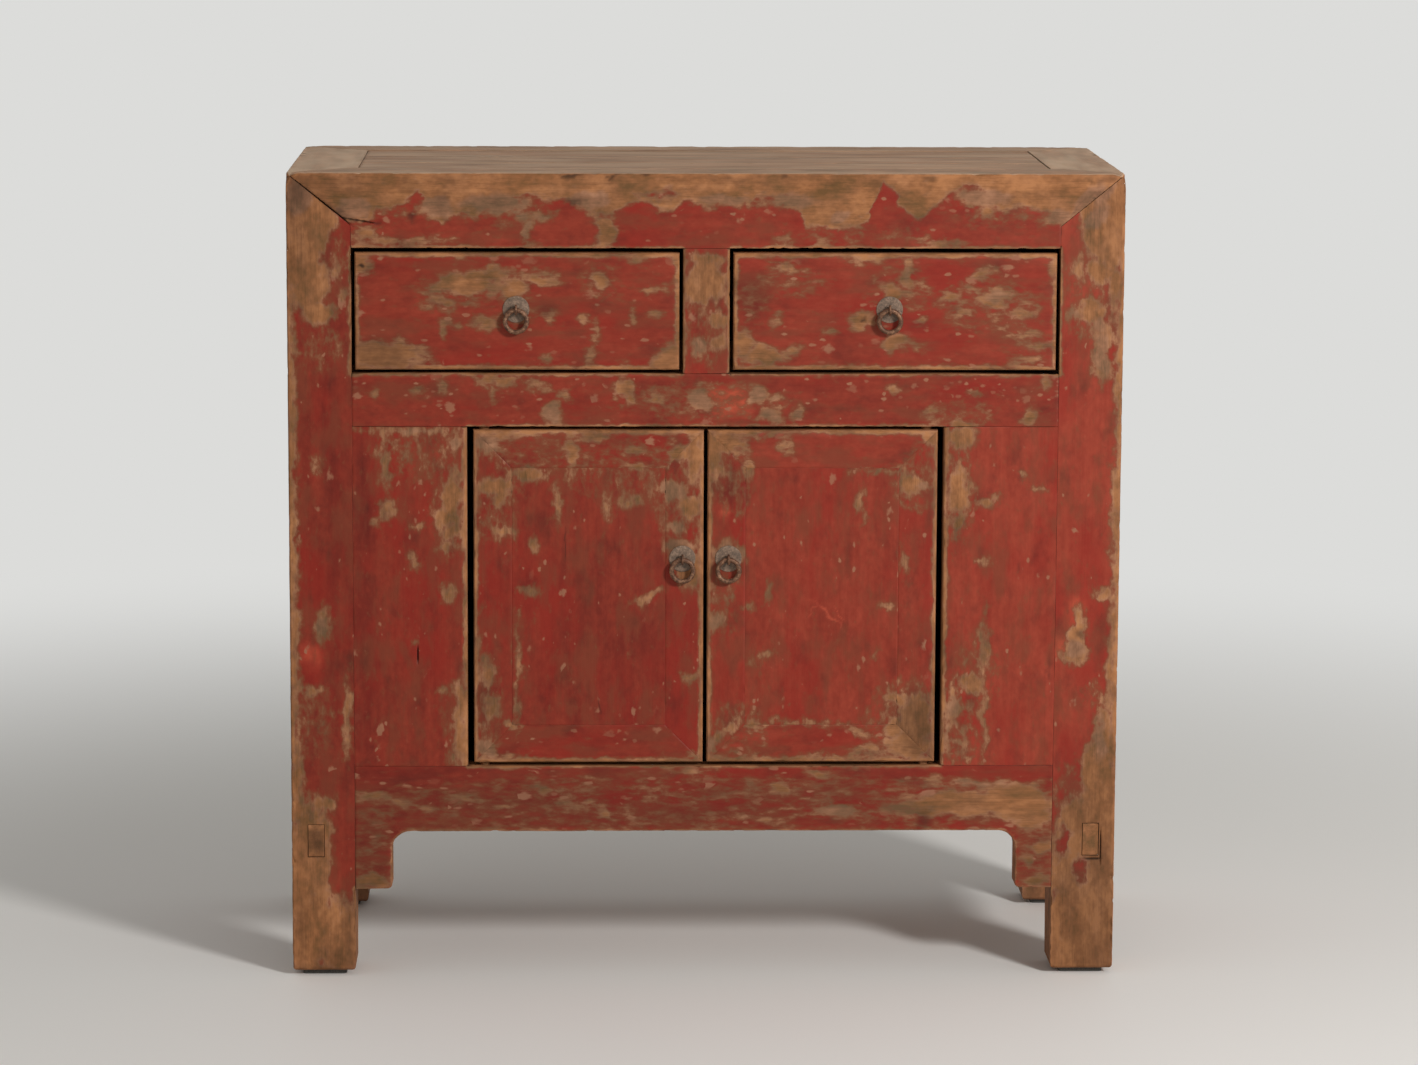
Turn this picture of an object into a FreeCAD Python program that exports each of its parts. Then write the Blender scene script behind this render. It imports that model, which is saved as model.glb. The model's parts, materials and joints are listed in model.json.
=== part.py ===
import FreeCAD, Part
import os
from FreeCAD import Vector

# Northern Chinese sideboard with a flush front: two drawers over a pair of doors, each on wooden pivots.
# Millimetres. X runs to the right, Y to the back and Z up from the floor; the front faces -Y.

# Overall size
width = 1000.0
depth = 436.0

# Heights up the front, from the floor to the top
apron_clearance = 179.0
apron_height = 81.0
door_opening_height = 414.0
middle_rail_height = 64.0
drawer_opening_height = 150.0
top_rail_height = 90.0

# Legs and feet
leg_width = 77.0
leg_depth = 74.0
foot_round = 4.0
arris_round = 3.0
flush_round = 2.5
pad_thickness = 6.0
pad_inset = 12.0
pad_corner = 5.0

# Rails of the frame
end_rail_width = 83.0
middle_rail_depth = 40.0
divider_width = 56.0
divider_depth = 40.0
apron_depth = 32.0
spandrel_width = 45.0
spandrel_drop = 71.0
spandrel_curve = 22.0
spandrel_corner = 6.0
side_rail_clearance = 138.0
side_rail_height = 68.0
side_rail_thickness = 44.0
side_rail_inset = 8.0
back_rail_depth = 32.0
back_rail_inset = 8.0
back_middle_rail_depth = 36.0

# Joints of the frame
tenon_length = 34.0
tenon_thickness = 16.0
tenon_shoulder = 10.0
through_tenon_height = 40.0
through_tenon_thickness = 20.0
through_tenon_rise = 10.0
divider_tenon = 20.0
leg_mitre_lean = 0.82
leg_tenon = 18.0
leg_tenon_cover = 22.0
mitre_tenon_thickness = 14.0
mitre_tenon_height = 20.0
mitre_tenon_cover = 20.0
mitre_tenon_wall = 8.0
mitre_tenon_end = 14.0

# Panels and boards
tongue = 9.0
tongue_thickness = 8.0
top_panel_thickness = 16.0
top_panel_drop = 1.0
top_board_count = 3
fixed_panel_thickness = 24.0
fixed_panel_setback = 8.0
side_panel_thickness = 12.0
side_panel_inset = 14.0
side_board_count = 2
back_board_thickness = 12.0
back_board_inset = 14.0
back_board_count = 5
floor_thickness = 14.0
floor_groove = 8.0
floor_bearing = 18.0
floor_board_count = 4

# Battens keyed under the top panel
batten_width = 30.0
batten_drop = 25.0
batten_key = 5.0
batten_key_flare = 3.0
batten_spacing = 340.0
batten_tenon = 12.0
batten_shoulder = 6.0

# Doors
door_opening_width = 572.0
door_thickness = 26.0
door_outer_gap = 7.5
door_meeting_gap = 4.5
door_top_gap = 4.0
door_bottom_gap = 4.5
door_frame_width = 46.0
door_mitre_depth = 6.0
door_tenon_length = 24.0
door_tenon_thickness = 8.0
door_tenon_shoulder = 8.0
door_tongue = 7.0
door_tongue_thickness = 6.0
pivot_setback = 13.0
pivot_diameter = 12.0
pivot_clearance = 0.08
pivot_end_gap = 0.2
pivot_socket_depth = 16.0
door_stop_drop = 8.0
door_stop_gap = 0.4
door_stop_margin = 2.0

# Drawers
drawer_side_gap = 4.25
drawer_bottom_gap = 4.5
drawer_top_gap = 5.5
drawer_front_thickness = 22.0
drawer_side_thickness = 12.0
drawer_side_height = 116.0
drawer_bottom_thickness = 8.0
drawer_bottom_rise = 8.0
drawer_bottom_groove = 5.0
dovetail_count = 3
dovetail_width = 22.0
dovetail_slope = 6.0
dovetail_lap = 8.0

# Drawer runners
runner_height = 36.0
runner_ledge = 24.0
runner_gap = 0.3
runner_tenon = 10.0
runner_shoulder = 5.0
guide_rise = 30.0
guide_thickness = 17.0
guide_gap = 0.5
stop_rise = 18.0
stop_length = 17.5
stop_gap = 0.5

# Ring pulls
plate_diameter = 32.0
plate_thickness = 1.0
plate_rim_round = 0.6
eye_hole = 7.6
eye_wire = 2.8
eye_gap = 0.2
shank_diameter = 4.6
shank_clearance = 0.1
tail_length = 15.0
tail_width = 4.0
tail_thickness = 1.4
ring_diameter = 32.0
ring_wire = 6.0
ring_gap = 0.3
drawer_pull_height = 72.5
left_pull_offset = 1.5
right_pull_offset = -6.5
door_pull_height = 249.5
door_pull_inset = 25.5

# How far an edge's box may pass its limit when edges are picked out
edge_slack = 0.1

# Places worked out from the sizes
eye_radius = eye_hole / 2 + eye_wire
eye_reach = plate_thickness + eye_gap + eye_radius
pull_reach = eye_reach + eye_radius
front = (pull_reach - depth) / 2
back = front + depth
middle_y = (front + back) / 2
half_width = width / 2
leg_inner = half_width - leg_width
leg_back = front + leg_depth
apron_top = apron_clearance + apron_height
middle_rail_bottom = apron_top + door_opening_height
middle_rail_top = middle_rail_bottom + middle_rail_height
top_rail_bottom = middle_rail_top + drawer_opening_height
height = top_rail_bottom + top_rail_height
top_panel_bottom = height - top_panel_drop - top_panel_thickness
floor_bottom = side_rail_clearance + side_rail_height
floor_top = floor_bottom + floor_thickness
back_boards_front = back - back_board_inset - back_board_thickness
back_middle_rail_front = back_boards_front - back_middle_rail_depth
back_rail_front = back - back_rail_inset - back_rail_depth
side_rail_outer = half_width - side_rail_inset
side_rail_inner = side_rail_outer - side_rail_thickness
door_opening_half = door_opening_width / 2
door_inner = door_meeting_gap / 2
door_outer = door_opening_half - door_outer_gap
door_low = apron_top + door_bottom_gap
door_high = middle_rail_bottom - door_top_gap
pivot_x = door_outer - pivot_setback
pivot_y = front + pivot_setback
drawer_outer = leg_inner - drawer_side_gap
drawer_inner = divider_width / 2 + drawer_side_gap
drawer_low = middle_rail_top + drawer_bottom_gap
drawer_high = top_rail_bottom - drawer_top_gap
runner_top = drawer_low - runner_gap
drawer_rear = back_middle_rail_front - stop_length - stop_gap


def box(x, y, z):
    # Each argument is a pair, the low and the high side.
    return Part.makeBox(x[1] - x[0], y[1] - y[0], z[1] - z[0], Vector(x[0], y[0], z[0]))


def prism(axis, span, outline):
    # An outline square to an axis, carried along it. Its points are (y, z), (x, z) or (x, y).
    place = {
        "x": lambda a, b: Vector(span[0], a, b),
        "y": lambda a, b: Vector(a, span[0], b),
        "z": lambda a, b: Vector(a, b, span[0]),
    }[axis]
    corners = [place(a, b) for a, b in outline]
    along = {"x": Vector(1, 0, 0), "y": Vector(0, 1, 0), "z": Vector(0, 0, 1)}[axis]
    face = Part.Face(Part.makePolygon(corners + corners[:1]))
    return face.extrude(along * (span[1] - span[0]))


def joined(first, *others):
    return first.fuse(list(others)).removeSplitter()


def without(shape, *tools):
    return shape.cut(list(tools)).removeSplitter()


def mirror_x(shape):
    return shape.mirror(Vector(0, 0, 0), Vector(1, 0, 0))


def mirror_y(shape):
    return shape.mirror(Vector(0, middle_y, 0), Vector(0, 1, 0))


def both(shape):
    # A piece and its twin on the other side.
    return [shape, mirror_x(shape)]


def sawn(panel, axis, low, high, count):
    # A panel cut into boards of equal width between two places along an axis.
    reach = panel.BoundBox
    sides = {
        "x": (reach.XMin, reach.XMax),
        "y": (reach.YMin, reach.YMax),
        "z": (reach.ZMin, reach.ZMax),
    }
    cuts = [low + (high - low) * k / count for k in range(1, count)]
    edges = [sides[axis][0]] + cuts + [sides[axis][1]]
    slabs = [box(*(dict(sides, **{axis: pair})[a] for a in "xyz")) for pair in zip(edges, edges[1:])]
    return [panel.common(slab).removeSplitter() for slab in slabs]


def edges_within(shape, **sides):
    # The edges of a shape that reach no higher than the given sides of their boxes, such as ZMax=0.
    def inside(edge):
        return all(getattr(edge.BoundBox, side) < limit + edge_slack for side, limit in sides.items())

    return [edge for edge in shape.Edges if inside(edge)]


def envelope():
    # The outside of the carcass with its arrises rounded.
    block = box((-half_width, half_width), (front, back), (pad_thickness, height))
    rounded = [e for e in block.Edges if e.BoundBox.ZMax > pad_thickness + arris_round]
    return block.makeFillet(arris_round, rounded)


def flush_board(x, thickness, z):
    # A board flush with the front, whose front edges are rounded.
    board = box(x, (front, front + thickness), z)
    return board.makeFillet(flush_round, edges_within(board, YMax=front))


def mitre_waste(own_width, other_width, lean=1.0):
    # What one of two members crossing at a mitred corner gives up. The first coordinate runs along the member
    # from the outer corner and the second across it, and the lean is how far the mitre runs along for each step
    # across. Past the mitre the wider member has a butt shoulder.
    run = min(own_width * lean, other_width)
    outline = [(0, 0), (0, own_width), (run, own_width), (run, run / lean)]
    return outline[:3] if run == own_width * lean else outline


def leg_tenon_box():
    # Hidden tenon on the front left leg, standing up into the mitred corner of the top frame.
    centre_x = -half_width + leg_width / 2
    centre_y = front + (leg_depth - mitre_tenon_wall - mitre_tenon_thickness) / 2
    return box(
        (centre_x - leg_tenon / 2, centre_x + leg_tenon / 2),
        (centre_y - leg_tenon / 2, centre_y + leg_tenon / 2),
        (top_rail_bottom - tenon_shoulder, height - leg_tenon_cover),
    )


def mitre_tenon_box():
    # Hidden tenon on the front rail's left end, entering the end rail.
    y_high = leg_back - mitre_tenon_wall
    z_high = height - mitre_tenon_cover
    return box(
        (-half_width + mitre_tenon_end, -half_width + leg_depth),
        (y_high - mitre_tenon_thickness, y_high),
        (z_high - mitre_tenon_height, z_high),
    )


def leg_blank(outside):
    # Front left leg before its mortises: two mitres at the top and a tenon inside them.
    x = (-half_width, -leg_inner)
    y = (front, leg_back)
    leg = box(x, y, (pad_thickness, height))
    leg = leg.makeFillet(foot_round, edges_within(leg, ZMax=pad_thickness))
    on_front = mitre_waste(leg_width, top_rail_height, leg_mitre_lean)
    on_side = mitre_waste(leg_depth, top_rail_height, leg_mitre_lean)
    across_front = [(-half_width + b, height - a) for a, b in on_front]
    across_side = [(front + b, height - a) for a, b in on_side]
    leg = without(leg, prism("y", y, across_front), prism("x", x, across_side))
    return joined(leg, leg_tenon_box()).common(outside)


def long_rail_blank(outside):
    # Top front rail before its mortises, mitred to the legs on its face and to the end rails on top.
    y = (front, leg_back)
    z = (top_rail_bottom, height)
    at_leg = mitre_waste(top_rail_height, leg_width, 1 / leg_mitre_lean)
    on_face = [(-half_width + a, height - b) for a, b in at_leg]
    on_top = [(-half_width + a, front + b) for a, b in mitre_waste(leg_depth, end_rail_width)]
    rail = box((-half_width, half_width), y, z)
    rail = without(rail, *both(prism("y", y, on_face)), *both(prism("z", z, on_top)))
    rail = joined(rail, *both(mitre_tenon_box()))
    return without(rail, *both(leg_tenon_box())).common(outside)


def end_rail_blank(outside):
    # Top left rail before its grooves, mitred to the long rails on top and to the legs on its face.
    x = (-half_width, -half_width + end_rail_width)
    z = (top_rail_bottom, height)
    at_leg = mitre_waste(top_rail_height, leg_depth, 1 / leg_mitre_lean)
    on_face = [(front + a, height - b) for a, b in at_leg]
    on_top = [(-half_width + b, front + a) for a, b in mitre_waste(end_rail_width, leg_depth)]
    waste = [prism("x", x, on_face), prism("z", z, on_top), leg_tenon_box(), mitre_tenon_box()]
    rail = without(box(x, (front, back), z), *waste, *[mirror_y(w) for w in waste])
    return rail.common(outside)


def between_legs(y, z):
    # A rail from leg to leg, with a blind tenon at each end.
    tenon_y = (sum(y) - tenon_thickness) / 2
    return joined(
        box((-leg_inner, leg_inner), y, z),
        box(
            (-leg_inner - tenon_length, leg_inner + tenon_length),
            (tenon_y, tenon_y + tenon_thickness),
            (z[0] + tenon_shoulder, z[1] - tenon_shoulder),
        ),
    )


def top_panel_and_battens():
    # Floating boards in grooves of the top frame, with two battens in dovetail housings underneath.
    x = (-half_width + end_rail_width, half_width - end_rail_width)
    y = (leg_back, back - leg_depth)
    low = (top_panel_bottom, top_panel_bottom + tongue_thickness)
    panel = joined(
        box(x, y, (top_panel_bottom, height - top_panel_drop)),
        box((x[0] - tongue, x[1] + tongue), y, low),
        box(x, (y[0] - tongue, y[1] + tongue), low),
    )
    centre = -batten_spacing / 2
    neck = batten_width / 2
    key = neck + batten_key_flare
    section = [
        (centre - neck, top_panel_bottom - batten_drop),
        (centre - neck, top_panel_bottom),
        (centre - key, top_panel_bottom + batten_key),
        (centre + key, top_panel_bottom + batten_key),
        (centre + neck, top_panel_bottom),
        (centre + neck, top_panel_bottom - batten_drop),
    ]
    tenon = box(
        (centre - neck + batten_shoulder, centre + neck - batten_shoulder),
        (y[0] - batten_tenon, y[1] + batten_tenon),
        (top_panel_bottom - batten_drop + batten_shoulder, top_panel_bottom - batten_shoulder),
    )
    battens = both(joined(prism("y", y, section), tenon))
    panel = without(panel, *battens)
    return sawn(panel, "y", y[0], y[1], top_board_count), battens


def divider_stile():
    # Upright between the drawers, tenoned into the rails above and below.
    tenon_y = front + (divider_depth - tenon_thickness) / 2
    half = divider_width / 2
    return joined(
        box((-half, half), (front, front + divider_depth), (middle_rail_top, top_rail_bottom)),
        box(
            (-half + tenon_shoulder, half - tenon_shoulder),
            (tenon_y, tenon_y + tenon_thickness),
            (middle_rail_top - divider_tenon, top_rail_bottom + divider_tenon),
        ),
    )


def pivot_socket(low, high):
    # Bore for the right door's pivot.
    radius = pivot_diameter / 2 + pivot_clearance
    return Part.makeCylinder(radius, high - low, Vector(pivot_x, pivot_y, low))


def middle_rail():
    # Rail under the drawers, with a lip behind the doors that stops them.
    y = (front, front + middle_rail_depth)
    sweep = pivot_setback * 2 ** 0.5
    lip_end = pivot_x - sweep - door_stop_margin
    lip = box(
        (-lip_end, lip_end),
        (front + door_thickness + door_stop_gap, y[1]),
        (middle_rail_bottom - door_stop_drop, middle_rail_bottom),
    )
    rail = joined(between_legs(y, (middle_rail_bottom, middle_rail_top)), lip)
    return without(rail, *both(pivot_socket(middle_rail_bottom, middle_rail_bottom + pivot_socket_depth)))


def front_apron():
    # One board: bottom rail with a spandrel at each end, curved into its lower edge.
    y = (front, front + apron_depth)
    rail = between_legs(y, (apron_clearance, apron_top))
    inner = leg_inner - spandrel_width
    spandrel_low = apron_clearance - spandrel_drop
    spandrel = box((inner, leg_inner), y, (spandrel_low, apron_clearance))
    corner = edges_within(spandrel, XMax=inner, ZMax=spandrel_low)
    spandrel = spandrel.makeFillet(spandrel_corner, corner)
    curve_low = apron_clearance - spandrel_curve
    fill = box((inner - spandrel_curve, inner), y, (curve_low, apron_clearance))
    bore = Part.makeCylinder(
        spandrel_curve, apron_depth, Vector(inner - spandrel_curve, front, curve_low), Vector(0, 1, 0)
    )
    curve = without(fill, bore)
    apron = joined(rail, *both(spandrel), *both(curve))
    return without(apron, *both(pivot_socket(apron_top - pivot_socket_depth, apron_top)))


def fixed_panel():
    # Right fixed panel beside the doors, tongued into the leg and both rails, flush with the front.
    x = (door_opening_half, leg_inner)
    z = (apron_top, middle_rail_bottom)
    tongue_y = (front + fixed_panel_setback, front + fixed_panel_setback + tongue_thickness)
    board = box(x, (front, front + fixed_panel_thickness), z)
    return joined(
        board.makeFillet(flush_round, edges_within(board, XMax=x[0], YMax=front)),
        box((x[0], x[1] + tongue), tongue_y, z),
        box(x, tongue_y, (z[0] - tongue, z[1] + tongue)),
    )


def side_bottom_rail():
    # Left bottom rail, whose tenons pass right through the legs and show on their faces.
    x = (-side_rail_outer, -side_rail_inner)
    tenon_x = (sum(x) - through_tenon_thickness) / 2
    tenon_z = side_rail_clearance + through_tenon_rise
    return joined(
        box(x, (leg_back, back - leg_depth), (side_rail_clearance, floor_bottom)),
        box(
            (tenon_x, tenon_x + through_tenon_thickness),
            (front, back),
            (tenon_z, tenon_z + through_tenon_height),
        ),
    )


def side_panel():
    # Boards of the left side, in grooves of the legs, the end rail and the bottom rail.
    outer = -half_width + side_panel_inset
    x = (outer, outer + side_panel_thickness)
    y = (leg_back, back - leg_depth)
    z = (floor_bottom, top_rail_bottom)
    panel = joined(
        box(x, (y[0] - tongue, y[1] + tongue), z),
        box(x, y, (z[0] - tongue, z[1] + tongue)),
    )
    return sawn(panel, "y", y[0], y[1], side_board_count)


def back_panel():
    # Upright boards of the back, in grooves of the legs and rails.
    y = (back_boards_front, back - back_board_inset)
    z = (apron_top, top_rail_bottom)
    panel = joined(
        box((-leg_inner - tongue, leg_inner + tongue), y, z),
        box((-leg_inner, leg_inner), y, (z[0] - tongue, z[1] + tongue)),
    )
    return sawn(panel, "x", -leg_inner, leg_inner, back_board_count)


def floor_panel():
    # Cupboard floor: long boards lie on the side rails, and short ones between the legs fill front and back.
    z = (floor_bottom, floor_top)
    reach = side_rail_inner + floor_bearing
    between = (leg_back, back - leg_depth)
    long_boards = sawn(box((-reach, reach), between, z), "y", *between, floor_board_count)
    short_front = box((-leg_inner, leg_inner), (front + apron_depth - floor_groove, leg_back), z)
    short_back = box((-leg_inner, leg_inner), (back - leg_depth, back_rail_front + floor_groove), z)
    return [short_front] + long_boards + [short_back]


def runner(ledges, guide, guide_y):
    # A drawer runner from the middle rail to the back middle rail: ledges that carry the drawer sides,
    # a guide beside them and a stop behind each drawer.
    y = (front + middle_rail_depth, back_middle_rail_front)
    z = (runner_top - runner_height, runner_top)
    span = (ledges[0][0], ledges[-1][1])
    tenon = box(
        (span[0] + runner_shoulder, span[1] - runner_shoulder),
        (y[0] - runner_tenon, y[1] + runner_tenon),
        (z[0] + runner_shoulder, middle_rail_top - runner_shoulder),
    )
    stop_y = (y[1] - stop_length, y[1])
    stops = [box(ledge, stop_y, (z[0], runner_top + stop_rise)) for ledge in ledges]
    lip = box(guide, guide_y, (z[0], runner_top + guide_rise))
    return joined(box(span, y, z), tenon, lip, *stops)


def left_runner():
    ledge = (-leg_inner, -leg_inner + runner_ledge)
    guide = (-drawer_outer - guide_gap - guide_thickness, -drawer_outer - guide_gap)
    return runner([ledge], guide, (leg_back, back - leg_depth))


def centre_runner():
    guide = (-drawer_inner + guide_gap, drawer_inner - guide_gap)
    ledge_end = drawer_inner + runner_ledge
    ledges = [(-ledge_end, guide[0]), (guide[1], ledge_end)]
    return runner(ledges, guide, (front + divider_depth, back_middle_rail_front))


def foot_pad():
    # Felt pad under the front left leg.
    pad = box(
        (-half_width + pad_inset, -leg_inner - pad_inset),
        (front + pad_inset, leg_back - pad_inset),
        (0, pad_thickness),
    )
    return pad.makeFillet(pad_corner, [e for e in pad.Edges if e.BoundBox.ZLength > pad_thickness / 2])


def pull(x, z, board_back):
    # A ring in the eye of a split pin, over a round plate. The pin's tails are bent flat behind the board.
    plate_front = front - plate_thickness
    eye_centre = Vector(x, front - eye_reach, z)
    to_back = Vector(0, 1, 0)
    plate = Part.makeCylinder(plate_diameter / 2, plate_thickness, Vector(x, plate_front, z), to_back)
    plate = plate.makeFillet(plate_rim_round, edges_within(plate, YMax=plate_front))
    eye = Part.makeTorus(eye_radius - eye_wire / 2, eye_wire / 2, eye_centre, Vector(1, 0, 0))
    shank_start = eye_centre + to_back * (eye_radius - eye_wire / 2)
    shank_length = board_back + tail_thickness - shank_start.y
    shank = Part.makeCylinder(shank_diameter / 2, shank_length, shank_start, to_back)
    tails = box(
        (x - tail_width / 2, x + tail_width / 2),
        (board_back, board_back + tail_thickness),
        (z - tail_length, z + tail_length),
    )
    hole = Part.makeCylinder(
        shank_diameter / 2 + shank_clearance, board_back - plate_front, Vector(x, plate_front, z), to_back
    )
    ring_radius = (ring_diameter - ring_wire) / 2
    drop = (eye_hole - ring_wire) / 2 - ring_gap + ring_radius
    ring = Part.makeTorus(ring_radius, ring_wire / 2, eye_centre - Vector(0, 0, drop), to_back)
    return {
        "plate": without(plate, hole),
        "staple": eye.fuse([shank, tails]),
        "ring": ring,
        "hole": hole,
    }


def dovetails(x, y_narrow, y_wide, z):
    # Tails spaced evenly up a board, widening from the shoulder to the end.
    pitch = (z[1] - z[0]) / dovetail_count
    wide = dovetail_width / 2
    narrow = wide - abs(y_wide - y_narrow) / dovetail_slope
    tails = []
    for k in range(dovetail_count):
        centre = z[0] + pitch * (k + 0.5)
        outline = [
            (y_narrow, centre - narrow),
            (y_wide, centre - wide),
            (y_wide, centre + wide),
            (y_narrow, centre + narrow),
        ]
        tails.append(prism("x", x, outline))
    return tails


def drawer(pull_offset):
    # The left drawer, shut. Lapped dovetails hold the front, and through dovetails the back.
    # Its pull stands off the centre by the offset, counted outwards.
    x = (-drawer_outer, -drawer_inner)
    shoulder = front + drawer_front_thickness
    back_front = drawer_rear - drawer_side_thickness
    side_top = drawer_low + drawer_side_height
    bottom_low = drawer_low + drawer_bottom_rise
    bottom_top = bottom_low + drawer_bottom_thickness
    sides_x = [(x[0], x[0] + drawer_side_thickness), (x[1] - drawer_side_thickness, x[1])]
    bottom = box(
        (sides_x[0][1] - drawer_bottom_groove, sides_x[1][0] + drawer_bottom_groove),
        (shoulder - drawer_bottom_groove, drawer_rear),
        (bottom_low, bottom_top),
    )
    face = flush_board(x, drawer_front_thickness, (drawer_low, drawer_high))
    rear_board = box(x, (back_front, drawer_rear), (bottom_top, side_top))
    for side_x in sides_x:
        face = without(face, *dovetails(side_x, shoulder, front + dovetail_lap, (drawer_low, side_top)))
        rear_board = without(rear_board, *dovetails(side_x, back_front, drawer_rear, (bottom_top, side_top)))
    handle = pull(sum(x) / 2 - pull_offset, drawer_low + drawer_pull_height, shoulder)
    side_y = (front + dovetail_lap, drawer_rear)
    sides = [
        without(box(side_x, side_y, (drawer_low, side_top)), face, rear_board, bottom) for side_x in sides_x
    ]
    return {
        "front": without(face, bottom, handle["hole"]),
        "outer_side": sides[0],
        "inner_side": sides[1],
        "back": rear_board,
        "bottom": bottom,
        "plate": handle["plate"],
        "staple": handle["staple"],
        "ring": handle["ring"],
    }


def door():
    # The right door, shut: a frame mitred on its face around a flush panel, with pivots on its outer stile.
    x = (door_inner, door_outer)
    z = (door_low, door_high)
    in_x = (x[0] + door_frame_width, x[1] - door_frame_width)
    in_z = (z[0] + door_frame_width, z[1] - door_frame_width)
    face_y = (front, front + door_mitre_depth)
    core_y = (face_y[1], front + door_thickness)
    tenon_y = (sum(core_y) - door_tenon_thickness) / 2

    outside = flush_board(x, door_thickness, z)

    def stile(outer, inner):
        on_face = [(outer, z[0]), (outer, z[1]), (inner, in_z[1]), (inner, in_z[0])]
        core = box((min(outer, inner), max(outer, inner)), core_y, z)
        return joined(prism("y", face_y, on_face), core).common(outside)

    def rail(outer, inner):
        on_face = [(x[0], outer), (x[1], outer), (in_x[1], inner), (in_x[0], inner)]
        low, high = min(outer, inner), max(outer, inner)
        tenons = box(
            (in_x[0] - door_tenon_length, in_x[1] + door_tenon_length),
            (tenon_y, tenon_y + door_tenon_thickness),
            (low + door_tenon_shoulder, high - door_tenon_shoulder),
        )
        return joined(prism("y", face_y, on_face), box(in_x, core_y, (low, high)), tenons).common(outside)

    tongue_y = (face_y[1], face_y[1] + door_tongue_thickness)
    panel = joined(
        box(in_x, (front, tongue_y[1]), in_z),
        box((in_x[0] - door_tongue, in_x[1] + door_tongue), tongue_y, in_z),
        box(in_x, tongue_y, (in_z[0] - door_tongue, in_z[1] + door_tongue)),
    )
    rails = {"top_rail": rail(z[1], in_z[1]), "bottom_rail": rail(z[0], in_z[0])}
    handle = pull(x[0] + door_pull_inset, z[0] + door_pull_height, core_y[1])
    pin_low = apron_top - pivot_socket_depth + pivot_end_gap
    pin_high = middle_rail_bottom + pivot_socket_depth - pivot_end_gap
    pins = [
        Part.makeCylinder(pivot_diameter / 2, high - low, Vector(pivot_x, pivot_y, low))
        for low, high in [(pin_low, z[0]), (z[1], pin_high)]
    ]
    return {
        "pivot_stile": without(joined(stile(x[1], in_x[1]), *pins), panel, *rails.values()),
        "inner_stile": without(stile(x[0], in_x[0]), panel, handle["hole"], *rails.values()),
        "top_rail": without(rails["top_rail"], panel),
        "bottom_rail": without(rails["bottom_rail"], panel),
        "panel": panel,
        "plate": handle["plate"],
        "staple": handle["staple"],
        "ring": handle["ring"],
    }


def save(name, *solids):
    shape = solids[0] if len(solids) == 1 else Part.makeCompound(list(solids))
    shape.exportStep("parts/" + name + ".step")


def build():
    os.makedirs("parts", exist_ok=True)
    outside = envelope()

    # What enters its neighbours is made first, and the neighbours are cut to take it.
    top_boards, battens = top_panel_and_battens()
    divider = divider_stile()
    panel_right = fixed_panel()
    panel_left = mirror_x(panel_right)
    side_rail_left = side_bottom_rail()
    side_boards_left = side_panel()
    back_boards = back_panel()
    floor_boards = floor_panel()
    runners = {"left": left_runner(), "centre": centre_runner(), "right": mirror_x(left_runner())}

    back_middle = without(
        between_legs((back_middle_rail_front, back_boards_front), (middle_rail_bottom, middle_rail_top)),
        *runners.values(),
    )
    back_bottom = without(
        between_legs((back_rail_front, back_rail_front + back_rail_depth), (apron_clearance, apron_top)),
        *back_boards, *floor_boards,
    )
    middle = without(middle_rail(), divider, panel_left, panel_right, *runners.values())
    apron = without(front_apron(), panel_left, panel_right, *floor_boards)

    front_rail = long_rail_blank(outside)
    back_rail = mirror_y(front_rail)
    end_rail = without(end_rail_blank(outside), *top_boards, *side_boards_left)
    side_rail_left_grooved = without(side_rail_left, *side_boards_left)
    front_leg = leg_blank(outside)
    back_leg = mirror_y(front_leg)
    front_leg = without(front_leg, middle, apron, panel_left, side_rail_left, *side_boards_left)
    back_leg = without(back_leg, back_middle, back_bottom, side_rail_left, *side_boards_left, *back_boards)

    save("top_front_rail", without(front_rail, divider, *top_boards, *battens))
    save("top_back_rail", without(back_rail, *top_boards, *battens, *back_boards))
    save("top_panel", *top_boards)
    save("top_battens", *battens)
    save("drawer_divider_stile", divider)
    save("middle_rail", middle)
    save("front_apron", apron)
    save("back_middle_rail", back_middle)
    save("back_bottom_rail", back_bottom)
    save("back_boards", *back_boards)
    save("floor_boards", *floor_boards)
    for place, piece in runners.items():
        save(place + "_drawer_runner", piece)
    pad = foot_pad()
    save("felt_foot_pads", *both(pad), *both(mirror_y(pad)))

    mirrored = {"left": lambda shape: shape, "right": mirror_x}
    pull_offsets = {"left": left_pull_offset, "right": right_pull_offset}
    for side, turn in mirrored.items():
        save("front_" + side + "_leg", turn(front_leg))
        save("back_" + side + "_leg", turn(back_leg))
        save("top_" + side + "_rail", turn(end_rail))
        save(side + "_bottom_rail", turn(side_rail_left_grooved))
        save(side + "_side_panel", *[turn(board) for board in side_boards_left])
        save(side + "_fixed_panel", turn(panel_left))
        for name, piece in drawer(pull_offsets[side]).items():
            save(side + "_drawer_" + name, turn(piece))
        for name, piece in door().items():
            save(side + "_door_" + name, turn(mirror_x(piece)))


build()
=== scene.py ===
import json
from math import ceil, cos, hypot, radians, sin

import bmesh
import bpy
from mathutils import Matrix, Vector, noise
from mathutils.bvhtree import BVHTree
from mathutils.kdtree import KDTree


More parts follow.
